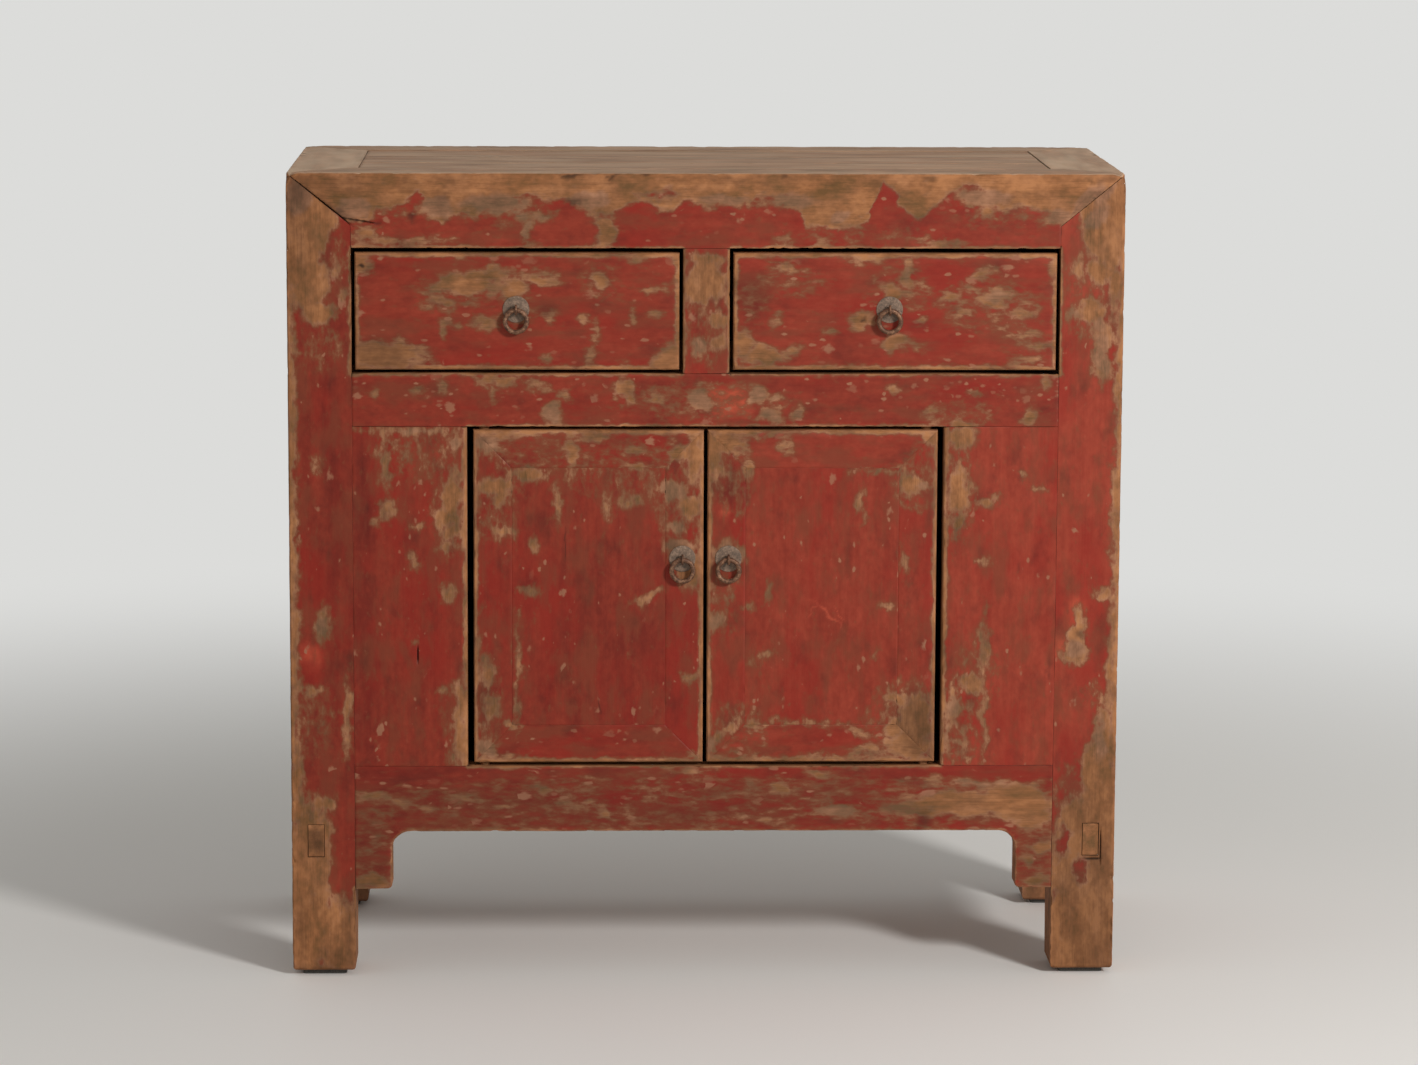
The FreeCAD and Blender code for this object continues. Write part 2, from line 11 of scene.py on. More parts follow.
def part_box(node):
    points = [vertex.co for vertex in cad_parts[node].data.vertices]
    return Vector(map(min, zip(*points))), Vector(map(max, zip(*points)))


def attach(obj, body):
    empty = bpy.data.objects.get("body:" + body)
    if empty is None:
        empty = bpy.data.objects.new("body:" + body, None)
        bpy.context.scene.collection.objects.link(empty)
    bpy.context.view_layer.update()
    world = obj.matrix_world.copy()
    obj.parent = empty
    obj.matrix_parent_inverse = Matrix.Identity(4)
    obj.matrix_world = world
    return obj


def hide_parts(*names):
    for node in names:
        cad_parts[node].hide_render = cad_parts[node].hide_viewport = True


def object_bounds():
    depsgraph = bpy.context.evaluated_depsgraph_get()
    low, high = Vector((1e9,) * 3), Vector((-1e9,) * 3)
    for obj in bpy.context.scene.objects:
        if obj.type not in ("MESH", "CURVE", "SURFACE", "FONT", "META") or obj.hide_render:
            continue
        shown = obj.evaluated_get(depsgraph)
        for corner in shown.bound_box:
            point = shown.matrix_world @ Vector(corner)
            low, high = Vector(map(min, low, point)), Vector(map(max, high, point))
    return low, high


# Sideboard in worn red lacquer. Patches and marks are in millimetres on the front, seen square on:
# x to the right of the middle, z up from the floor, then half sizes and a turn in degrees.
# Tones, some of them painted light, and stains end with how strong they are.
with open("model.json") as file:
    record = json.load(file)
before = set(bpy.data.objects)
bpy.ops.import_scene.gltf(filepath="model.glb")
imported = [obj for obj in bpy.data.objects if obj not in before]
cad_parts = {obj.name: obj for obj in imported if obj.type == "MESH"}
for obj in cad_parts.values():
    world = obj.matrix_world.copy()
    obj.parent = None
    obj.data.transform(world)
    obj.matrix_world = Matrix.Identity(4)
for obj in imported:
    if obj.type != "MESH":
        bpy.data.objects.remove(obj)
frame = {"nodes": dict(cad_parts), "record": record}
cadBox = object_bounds()
nodes = frame["nodes"]
bodies = frame["record"]["behaviour"]["bodies"]
bodyOf = {name: body for body, names in bodies.items() for name in names}
mm = 0.001

sideWays = {
    "front": Vector((0, -1, 0)),
    "back": Vector((0, 1, 0)),
    "left": Vector((-1, 0, 0)),
    "right": Vector((1, 0, 0)),
    "top": Vector((0, 0, 1)),
}
sideAxes = {"front": "xz", "back": "xz", "left": "yz", "right": "yz", "top": "xy"}
grainOrder = {"x": (0, 1, 2), "y": (1, 0, 2), "z": (2, 0, 1)}  # along the grain, then across it
isMetal = {name: name.endswith(("plate", "staple", "ring")) for name in nodes}
isWood = {name: not isMetal[name] and name != "felt_foot_pads" for name in nodes}

handWork = {
    "netSize": {"front": 3.5, "left": 7, "right": 7, "top": 7, "back": 14},  # mm between cuts
    "quickNet": 2.5,
    "merge": 0.002,        # mm, points nearer than this are one
    "cutNear": 0.02,       # mm, a cut this near to a point goes through it
    "flat": 0.5,           # degrees, faces bent by less are one
    "soft": 3,             # degrees, an edge bent by more is a rounded one
    "sharp": 45,           # degrees, an edge bent by more is an arris
    "shadeSharp": 35,      # degrees, an edge bent by more shows as a line
    "sideDepth": 4.5,      # mm, how deep a side's rounded edges reach
    "sideLean": 0.15,      # least share of a face's normal that points to its side
    "lineStep": 2,         # mm between the points kept along an arris
    "probe": (2, 0.1),     # mm below an arris and out of it, where the next piece is felt for
    "touch": 0.6,          # mm, a piece this near to the probe makes a joint
    "openRound": 1.6,      # mm, arrises around an opening
    "wave": 0.25,          # mm, left by the plane
    "lacquer": 0.3,        # mm thick
    "dent": 1.5,           # mm, knocks along the arrises
    "crackDepth": 2.5,     # mm
    "footHeight": 100,     # mm, the part of a leg that is its foot
    "footRound": 7,        # mm, corners at the floor
    "cornerReach": 18,     # mm, how far from a top corner its wear begins
    "cornerWear": 6,       # mm
    "forging": 0.25,       # mm, unevenness of the iron
    "hammerMarks": 7,      # mm across
    "nodeStep": 1.7,       # m between the places in the patterns that two pieces take
    "boardStep": (0.61, 0.83, 0.37),  # m, the same for two boards of a piece
    "seed": 5,             # of the bends in the patches' outlines
}
noise.seed_set(handWork["seed"])

# What a piece has where its own settings say nothing else
plainPiece = {
    "slot": "red_lacquer",
    "shows": (),           # sides that are seen
    "breaks": {},          # where edges are parted, so that each stretch is an opening or a joint
    "fine": (),            # two corners of a place with a finer net, and the net's size in mm
    "bare": (), "grey": (), "thin": (), "kept": (), "cracks": (), "tonesAndLights": (), "stains": (),
    "shadeAndLight": 0.5,          # dark to light red; on the front partly painted light, darker on the left and lighter on the right
    "scatter": 0.2,        # share of loose specks
    "arris": 2.2,          # mm rubbed bare along an arris
    "joint": 0.6,          # dirt in a flush joint
    "jointRound": 0.4,     # mm, arrises at a flush joint
    "tightJoints": False,  # the wear goes straight in at a joint, and doesn't widen it
    "raw": 0.35,           # how grey bare wood is
    "dustAndSheen": 0.36,          # on top, where it also paints a pale sheen
    "sideHold": 0.42,      # more keeps more lacquer on the ends of the cabinet
    "bareBelow": -1000,    # mm, height under which the ends are bare
    "drawnOut": 1.0,       # times as long along the grain
}


def toLinear(hexColour):
    parts = [int(hexColour[i:i + 2], 16) / 255 for i in (1, 3, 5)]
    return (*[p / 12.92 if p <= 0.04045 else ((p + 0.055) / 1.055) ** 2.4 for p in parts], 1)


def perMetre(*sizes):
    return tuple(1 / (size * mm) for size in sizes)


def newMaterial(name):
    material = bpy.data.materials.new(name)
    material.use_nodes = True
    tree = material.node_tree
    return material, tree, tree.nodes["Principled BSDF"]


def addNode(tree, kind, inputs, stops=(), **settings):
    made = tree.nodes.new("ShaderNode" + kind)
    for name, value in settings.items():
        setattr(made, name, value)
    for k, (place, colour) in enumerate(stops):
        element = made.color_ramp.elements[k] if k < 2 else made.color_ramp.elements.new(place)
        element.position = place
        element.color = toLinear(colour)
    for socket, value in inputs.items():
        if isinstance(value, bpy.types.Node):
            value = next(out for out in value.outputs if out.enabled)
        if isinstance(value, bpy.types.NodeSocket):
            tree.links.new(value, made.inputs[socket])
        else:
            made.inputs[socket].default_value = value
    return made


# Brushed oil lacquer over elm, gone matt and rubbed through: brick red with darker and faded zones,
# soft ragged edges, and open brown grain where it is gone.
wearNames = ("bare", "tone", "weathered", "dark", "scatter", "dustAndSheen")
lacquer = {
    "reds": [(0.0, "#55110a"), (0.3, "#702215"), (0.5, "#842e1d"), (0.7, "#953a27"), (1.0, "#b54d34")],
    "crimson": "#871d12",
    "brown": "#723722",
    "thin": "#754027",
    "fleck": "#96634a",
    "woods": [(0.36, "#684828"), (0.5, "#8b5a37"), (0.64, "#aa7248")],
    "grounds": [(0.36, "#6a4e37"), (0.5, "#895f45"), (0.64, "#a8785a")],
    "dirt": "#1c110b",
    # pale dust, which also paints the sheen of the top faces
    "dustAndSheen": "#d8ba9c",
    "patterns": {  # mm along the grain, mm across it, detail, roughness
        "flakes": (13, 8, 5, 0.62),
        "zones": (150, 60, 4, 0.55),
        "mottle": (10, 7, 4, 0.55),
        "streaks": (140, 10, 4, 0.55),
        "lines": (260, 3.2, 3, 0.6),
        "clouds": (48, 22, 4, 0.52),
        "pores": (20, 1.2, 2, 0.5),
        "ageing": (60, 26, 3, 0.6),
        "grime": (40, 26, 4, 0.56),
    },
    "specks": [(19, 14), (10, 6)],  # mm between specks, along and across
    "speckSizes": (0.4, -0.52),     # how far they differ, and the least
    "flaking": 1.4,                 # how far flakes break up the edge of the wear
    "redShares": {"mottle": 0.36, "streaks": 0.27, "clouds": 0.4},
    "redMiddle": 0.515,             # mean of those three
    "woodShares": {"fine": 0.4, "clouds": 0.6},
    "mottleInFine": 0.7,            # the rest of it is lines
    "agedShare": 0.9,               # how far the ageing pattern breaks up the grey
    "fades": {  # where each begins and ends, and how strong it gets
        "gone": {"From Min": 1.0, "From Max": 1.38},
        "thinned": {"From Min": 0.78, "From Max": 1.15, "To Max": 0.8},
        "shallow": {"From Min": 1.2, "From Max": 1.65, "To Min": 0.8, "To Max": 0},
        "aged": {"From Min": 0.5, "From Max": 1.4},
        "speck": {"From Min": -0.1, "From Max": 0.15},
        "pores": {"From Min": 0.56, "From Max": 0.7, "To Max": 0.06},
        # how far the tone, with its painted light and highlights, lightens or darkens bare wood
        "rubbedAndLit": {"To Min": -0.06, "To Max": 0.06},
        "tinted": {"From Min": 0.46, "From Max": 0.66, "To Max": 0.6},
        "grime": {"From Min": 0.5, "From Max": 0.78, "To Max": 0.32},
        "gloss": {"To Min": 0.5, "To Max": 0.75},  # roughness of lacquer, and of bare wood
    },
    "step": -0.5,                   # where the lacquer ends, against the lines of the grain
    "relief": {"Strength": 0.35, "Distance": 0.4 * mm},
    "ior": 1.5,
    "shine": 0.2,                   # dust and wear dull it
}


def lacquerOnWood():
    s = lacquer
    fades = s["fades"]
    smooth = {"interpolation_type": "SMOOTHSTEP"}
    material, tree, shader = newMaterial("rubbed_red_lacquer_on_elm")
    read = {}
    for name in wearNames:
        read[name] = addNode(tree, "Attribute", {}, attribute_name=name).outputs["Fac"]
    grain = addNode(tree, "Attribute", {}, attribute_name="grain").outputs["Vector"]
    drawn = {}
    for name, (length, width, detail, roughness) in s["patterns"].items():
        place = addNode(tree, "Mapping", {"Vector": grain, "Scale": perMetre(length, width, width)})
        inputs = {"Vector": place, "Scale": 1, "Detail": detail, "Roughness": roughness}
        drawn[name] = addNode(tree, "TexNoise", inputs)

    # How far the lacquer is gone: the piece's own wear, broken up by flakes, and loose specks
    worn = {0: drawn["flakes"], 1: s["flaking"], 2: read["bare"]}
    worn = addNode(tree, "Math", worn, operation="MULTIPLY_ADD")
    gone = addNode(tree, "MapRange", {"Value": worn, **fades["gone"]}, **smooth)
    thinned = addNode(tree, "MapRange", {"Value": worn, **fades["thinned"]}, **smooth)
    differ, least = s["speckSizes"]
    flecks = 0.0
    for long, wide in s["specks"]:
        place = addNode(tree, "Mapping", {"Vector": grain, "Scale": perMetre(long, wide, wide)})
        speck = addNode(tree, "TexVoronoi", {"Vector": place, "Scale": 1})
        draw = addNode(tree, "SeparateColor", {0: speck.outputs["Color"]})
        first, second, third = [draw.outputs[name] for name in ("Red", "Green", "Blue")]  # three draws
        present = addNode(tree, "Math", {0: first, 1: read["scatter"]}, operation="LESS_THAN")
        strength = addNode(tree, "Math", {0: present, 1: third}, operation="MULTIPLY")
        size = addNode(tree, "Math", {0: second, 1: second}, operation="MULTIPLY")
        size = addNode(tree, "Math", {0: size, 1: differ, 2: least}, operation="MULTIPLY_ADD")
        size = addNode(tree, "Math", {0: drawn["mottle"], 1: size}, operation="ADD")
        inside = addNode(tree, "Math", {0: size, 1: speck.outputs["Distance"]}, operation="SUBTRACT")
        inside = {"Value": inside, "To Max": strength, **fades["speck"]}
        inside = addNode(tree, "MapRange", inside, **smooth)
        flecks = addNode(tree, "Math", {0: flecks, 1: inside}, operation="MAXIMUM")

    # Wood, and the pale ground coat left on it where the wear is old or shallow
    fine = addNode(tree, "Mix", {0: s["mottleInFine"], 2: drawn["lines"], 3: drawn["mottle"]})
    shadeAndLight = 0.0
    for pattern, share in ((fine, "fine"), (drawn["clouds"], "clouds")):
        shadeAndLight = {0: pattern, 1: s["woodShares"][share], 2: shadeAndLight}
        shadeAndLight = addNode(tree, "Math", shadeAndLight, operation="MULTIPLY_ADD")
    pores = addNode(tree, "MapRange", {"Value": drawn["pores"], **fades["pores"]})
    shadeAndLight = addNode(tree, "Math", {0: shadeAndLight, 1: pores}, operation="SUBTRACT")
    # The tone shifts the wood too: rubbing and random tone, with painted light and painted highlights on
    # the arrises
    rubbedAndLit = addNode(tree, "MapRange", {"Value": read["tone"], **fades["rubbedAndLit"]})
    shadeAndLight = addNode(tree, "Math", {0: shadeAndLight, 1: rubbedAndLit}, operation="ADD")
    tan = addNode(tree, "ValToRGB", {0: shadeAndLight}, stops=s["woods"])
    ground = addNode(tree, "ValToRGB", {0: shadeAndLight}, stops=s["grounds"])
    aged = {0: drawn["ageing"], 1: s["agedShare"], 2: read["weathered"]}
    aged = addNode(tree, "Math", aged, operation="MULTIPLY_ADD")
    aged = addNode(tree, "MapRange", {"Value": aged, **fades["aged"]}, **smooth)
    shallow = addNode(tree, "MapRange", {"Value": worn, **fades["shallow"]}, **smooth)
    aged = addNode(tree, "Math", {0: aged, 1: shallow}, operation="MAXIMUM")
    wood = addNode(tree, "Mix", {0: aged, 6: tan, 7: ground}, data_type="RGBA")

    # Lacquer
    # The red starts from the tone, which holds painted light as well as the lacquer's own tone
    depth = read["tone"]
    for name, share in s["redShares"].items():
        depth = addNode(tree, "Math", {0: drawn[name], 1: share, 2: depth}, operation="MULTIPLY_ADD")
    depth = addNode(tree, "Math", {0: depth, 1: s["redMiddle"]}, operation="SUBTRACT")
    red = addNode(tree, "ValToRGB", {0: depth}, stops=s["reds"])
    for name, tint in (("zones", "crimson"), ("ageing", "brown")):
        share = addNode(tree, "MapRange", {"Value": drawn[name], **fades["tinted"]}, **smooth)
        red = addNode(tree, "Mix", {0: share, 6: red, 7: toLinear(s[tint])}, data_type="RGBA")
    for share, tint in ((thinned, "thin"), (flecks, "fleck")):
        red = addNode(tree, "Mix", {0: share, 6: red, 7: toLinear(s[tint])}, data_type="RGBA")

    # Both, with the dirt and dust that lie on them; the pale dust on top faces also paints a sheen
    colour = addNode(tree, "Mix", {0: gone, 6: red, 7: wood}, data_type="RGBA")
    grime = addNode(tree, "MapRange", {"Value": drawn["grime"], **fades["grime"]}, **smooth)
    grime = addNode(tree, "Math", {0: grime, 1: read["dark"]}, operation="MAXIMUM")
    for share, tint in ((grime, "dirt"), (read["dustAndSheen"], "dustAndSheen")):
        colour = addNode(tree, "Mix", {0: share, 6: colour, 7: toLinear(s[tint])}, data_type="RGBA")
    gloss = addNode(tree, "MapRange", {"Value": gone, **fades["gloss"]})
    height = {0: gone, 1: s["step"], 2: drawn["lines"]}
    height = addNode(tree, "Math", height, operation="MULTIPLY_ADD")
    bump = addNode(tree, "Bump", {"Height": height, **s["relief"]})
    made = {"Base Color": colour.outputs[2], "Roughness": gloss.outputs[0], "Normal": bump.outputs[0]}
    for socket, value in made.items():
        tree.links.new(value, shader.inputs[socket])
    shader.inputs["IOR"].default_value = s["ior"]
    shader.inputs["Specular IOR Level"].default_value = s["shine"]
    return material


# Hand-forged iron, rubbed brown: dark, with rust in the hollows and brighter where fingers wear it.
iron = {
    "rings": [(0.35, "#402a1d"), (0.5, "#694733"), (0.64, "#987155")],
    "plates": [(0.35, "#524235"), (0.5, "#725b4a"), (0.64, "#917661")],
    "ringShine": 0.5,      # share of bright metal
    "plateShine": 0.1,
    "hammerSize": 5,       # mm
    "rustSize": 1.6,       # mm
    "gloss": {"From Min": 0.3, "From Max": 0.7, "To Min": 0.4, "To Max": 0.75},
    "relief": {"Strength": 0.6, "Distance": 0.4 * mm},
}


def forgedIron(name, colours, shine):
    material, tree, shader = newMaterial(name)
    place = addNode(tree, "TexCoord", {}).outputs["Object"]
    hammer, rust = perMetre(iron["hammerSize"], iron["rustSize"])
    hammer = addNode(tree, "TexNoise", {"Vector": place, "Scale": hammer, "Detail": 3})
    rust = addNode(tree, "TexNoise", {"Vector": place, "Scale": rust, "Detail": 3})
    both = addNode(tree, "Mix", {0: 0.5, 2: hammer, 3: rust})
    colour = addNode(tree, "ValToRGB", {0: both}, stops=colours)
    gloss = addNode(tree, "MapRange", {"Value": rust, **iron["gloss"]})
    bump = addNode(tree, "Bump", {"Height": both, **iron["relief"]})
    for socket, made in {"Base Color": colour, "Roughness": gloss, "Normal": bump}.items():
        tree.links.new(made.outputs[0], shader.inputs[socket])
    shader.inputs["Metallic"].default_value = shine
    return material


# Pressed wool felt: dull grey, with fibres that break up the light.
felt = {
    "colours": [(0.3, "#3c3a37"), (0.7, "#5a5752")],
    "fibreSize": 1.2,      # mm
    "roughness": 0.95,
    "relief": {"Strength": 0.8, "Distance": 0.6 * mm},
}


def pressedFelt():
    material, tree, shader = newMaterial("pressed_felt")
    place = addNode(tree, "TexCoord", {}).outputs["Object"]
    fibre = perMetre(felt["fibreSize"])[0]
    fibre = addNode(tree, "TexNoise", {"Vector": place, "Scale": fibre, "Detail": 5})
    colour = addNode(tree, "ValToRGB", {0: fibre}, stops=felt["colours"])
    bump = addNode(tree, "Bump", {"Height": fibre, **felt["relief"]})
    tree.links.new(colour.outputs[0], shader.inputs["Base Color"])
    tree.links.new(bump.outputs[0], shader.inputs["Normal"])
    shader.inputs["Roughness"].default_value = felt["roughness"]
    return material


lacquerMaterial = lacquerOnWood()
ringMaterial = forgedIron("forged_iron_rubbed", iron["rings"], iron["ringShine"])
plateMaterial = forgedIron("forged_iron_dull", iron["plates"], iron["plateShine"])
feltMaterial = pressedFelt()
print("materials made")


def copyOf(name, keep=None):
    bm = bmesh.new()
    bm.from_mesh(nodes[name].data)
    if keep:
        bmesh.ops.delete(bm, geom=[f for f in bm.faces if not keep(f)], context="FACES")
    bmesh.ops.remove_doubles(bm, verts=bm.verts, dist=handWork["merge"] * mm)
    flat = radians(handWork["flat"])
    bmesh.ops.dissolve_limit(bm, angle_limit=flat, verts=bm.verts, edges=bm.edges)
    bm.normal_update()
    return bm


def boardsOf(settings):
    # A node of several boards is taken apart, so that each is worn by itself
    name = settings["node"]
    if "sawn" not in settings:
        return [copyOf(name)]
    axis, places = settings["sawn"]
    index = "xyz".index(axis)
    edges = [-10.0, *places, 10.0]  # m, well past the ends

    def inBoard(low, high):
        # Looked at 0.2 mm inside the face, because two boards meet in one plane
        return lambda face: low < (face.calc_center_median() - face.normal * 0.2 * mm)[index] < high

    return [copyOf(name, inBoard(low, high)) for low, high in zip(edges, edges[1:])]


def otherWood(name):
    rest = bmesh.new()
    for other, node in nodes.items():
        if isWood[other] and other != name:
            rest.from_mesh(node.data)
    tree = BVHTree.FromBMesh(rest)
    rest.free()
    return tree


def facesOn(bm, side):
    way = sideWays[side]
    reach = max(v.co.dot(way) for v in bm.verts) - handWork["sideDepth"] * mm
    leaning = [f for f in bm.faces if f.normal.dot(way) > handWork["sideLean"]]
    return [f for f in leaning if f.calc_center_median().dot(way) > reach]


def cutAcross(bm, faces, axis, places):
    index = "xyz".index(axis)
    way = Vector([float(i == index) for i in range(3)])
    geom = list({*faces, *(e for f in faces for e in f.edges), *(v for f in faces for v in f.verts)})
    near = handWork["cutNear"] * mm
    for place in places:
        cut = bmesh.ops.bisect_plane(bm, geom=geom, dist=near, plane_co=way * place, plane_no=way)
        geom = cut["geom"]


def netPlaces(faces, axis, size):
    index = "xyz".index(axis)
    spots = [v.co[index] for f in faces for v in f.verts] or [0.0]
    return [k * size for k in range(ceil(min(spots) / size), ceil(max(spots) / size))]


def netFaces(bm, settings):
    for side in settings["shows"]:
        for axis in sideAxes[side]:
            faces = facesOn(bm, side)
            cutAcross(bm, faces, axis, netPlaces(faces, axis, handWork["netSize"][side] * mm))
    for (lowX, lowZ), (highX, highZ), size in settings["fine"]:
        for axis in "xz":
            middles = {f: f.calc_center_median() / mm for f in facesOn(bm, "front")}
            faces = [f for f, m in middles.items() if lowX < m.x < highX and lowZ < m.z < highZ]
            cutAcross(bm, faces, axis, netPlaces(faces, axis, size * mm))
    bm.normal_update()


def treeAlong(lines):
    points = [Vector((0, 0, -100))]  # far off, so that the tree is never empty
    for start, end in lines:
        count = max(1, round((end - start).length / (handWork["lineStep"] * mm)))
        points += [start.lerp(end, k / count) for k in range(count + 1)]
    tree = KDTree(len(points))
    for k, point in enumerate(points):
        tree.insert(point, k)
    tree.balance()
    return tree


def roundArrises(bm, settings, others):
    # Arrises at an opening are rounded by wear, those at a flush joint only broken
    shown = {f for side in settings["shows"] for f in facesOn(bm, side)}
    below, out = handWork["probe"]
    opened, joints, soft = [], [], []
    for edge in {e for f in shown for e in f.edges}:
        if len(edge.link_faces) != 2 or not edge.is_convex:
            continue
        angle = edge.calc_face_angle(0)
        if angle < radians(handWork["sharp"]):
            if angle > radians(handWork["soft"]):
                soft.append(edge)
            continue
        mine, beside = sorted(edge.link_faces, key=lambda f: f not in shown)
        middle = (edge.verts[0].co + edge.verts[1].co) / 2
        probe = middle - mine.normal * below * mm + beside.normal * out * mm
        touching = others.find_nearest(probe, handWork["touch"] * mm)[0] is not None
        (joints if touching else opened).append(edge)
    openTree = treeAlong([[v.co.copy() for v in e.verts] for e in soft + opened])
    jointTree = treeAlong([[v.co.copy() for v in e.verts] for e in joints])
    bevel = {"affect": "EDGES", "profile": 0.5, "material": -1, "clamp_overlap": True}
    if joints:
        bmesh.ops.bevel(bm, geom=joints, offset=settings["jointRound"] * mm, segments=1, **bevel)
    opened = [e for e in opened if e.is_valid]
    if opened:
        bmesh.ops.bevel(bm, geom=opened, offset=handWork["openRound"] * mm, segments=3, **bevel)
    bm.normal_update()
    return openTree, jointTree


# How the wear spreads: sizes in mm, the rest as shares. Of a pair, the first is the size of a change
# from place to place and the second its strength.
spread = {
    "bends": [(19, 7), (6, 3)],  # waves in the patches' outlines, and how far they reach
    "near": 40,                  # a patch further off than this isn't felt
    "patchEdge": 14,             # from lacquer to bare wood
    "thinEdge": 30,              # from full lacquer to thin
    "thinStart": 0.15,           # how far thin lacquer is gone at the edge of its patch
    "thinnest": 0.3,             # and in the middle
    "greyEdge": 5,
    "freshGrey": 0.2,            # how grey wood is where the lacquer went of late
    "topGrey": 0.7,
    "crackEdge": 0.6,
    # how dark the colour in a crack is made
    "crackDarkness": 0.85,
    "arrisEdge": 6,              # from a rubbed arris to the lacquer beside it
    # Rubbed arrises are paler: rubbed lacquer, and a painted highlight where an arris catches the light
    "arrisRubAndHighlightReach": 4,
    "arrisRubAndHighlight": 0.9,
    "jointReach": 0.9,
    "jointLean": 0.75,           # share of the normal; what leans more than this lies in the joint
    "dentReach": 6,
    "dentStart": 0.25,
    "stepStart": 0.35,           # wear at which the lacquer's thickness begins to go
    "stepSlope": 3,
    "dustAndSheenDrawn": 4,              # times as long along the grain
    # how the dust, and the painted sheen with it, varies
    "dustAndSheen": (40, 0.6),
    "specks": (70, 1.5),
    "endPatches": (85, 30),
    "footLine": (60, 40),
    "arris": (30, 0.8),
    "joint": (40, 1.5),
    "wave": (45, 1),
    "dent": (16, 1.6),
}


def readyPatches(patches):
    ready = []
    for patch in patches:
        x, z, halfX, halfZ, turn = (*patch, 0)[:5]
        ready.append((x, z, halfX, halfZ, cos(radians(turn)), sin(radians(turn)), min(halfX, halfZ)))
    return ready


def depthIn(patches, x, z):
    # How far inside the nearest patch a point is, in mm; less than nothing is outside
    best = -99.0  # where no patch is near
    for px, pz, halfX, halfZ, c, s, least in patches:
        dx, dz = x - px, z - pz
        if abs(dx) + abs(dz) < halfX + halfZ + spread["near"]:
            best = max(best, (1 - hypot((dx * c + dz * s) / halfX, (dz * c - dx * s) / halfZ)) * least)
    return best


def heightAt(line, x):
    for (x0, z0), (x1, z1) in zip(line, line[1:]):
        if x0 <= x <= x1:
            return z0 + (z1 - z0) * (x - x0) / (x1 - x0)
    return line[0][1] if x < line[0][0] else line[-1][1]


def limited(value, low=0.0, high=1.0):
    return min(high, max(low, value))


def fractal(point, size, octaves=3):
    return noise.fractal(point * perMetre(size)[0], 0.6, 2.0, octaves)


def drift(name, place):
    size, strength = spread[name]
    return strength * fractal(place, size)


def frontWear(settings, x, z):
    # What the piece's own patches do at one place of the front
    s = spread
    bare = depthIn(settings["bare"], x, z)
    grey = depthIn(settings["grey"], x, z)
    if "bareAbove" in settings:
        bare = max(bare, z - heightAt(settings["bareAbove"], x))
    depth = min(max(bare, grey), -depthIn(settings["kept"], x, z))
    thin = s["thinStart"] + depthIn(settings["thin"], x, z) / s["thinEdge"]
    thin = limited(thin, 0.0, s["thinnest"])
    # the tone: the piece's shade and its tone patches, both partly painted light
    tone = settings["shadeAndLight"]
    for patch, value in zip(settings["toned"], settings["tonesAndLights"]):
        tone += (value[5] - tone) * limited(0.5 + depthIn([patch], x, z) / patch[6])
    greyness = s["freshGrey"] + (1 - s["freshGrey"]) * limited(0.5 + grey / s["greyEdge"])
    return limited(max(0.5 + depth / s["patchEdge"], thin)), tone, greyness


def sidesShown(bm, settings):
    # The side that each point is on; on an arris, the one that it faces most
    sideOf = {}
    for side in settings["shows"]:
        for vert in {v for f in facesOn(bm, side) for v in f.verts}:
            before = sideWays[sideOf.get(vert, side)]
            if vert not in sideOf or vert.normal.dot(sideWays[side]) > vert.normal.dot(before):
                sideOf[vert] = side
    return sideOf


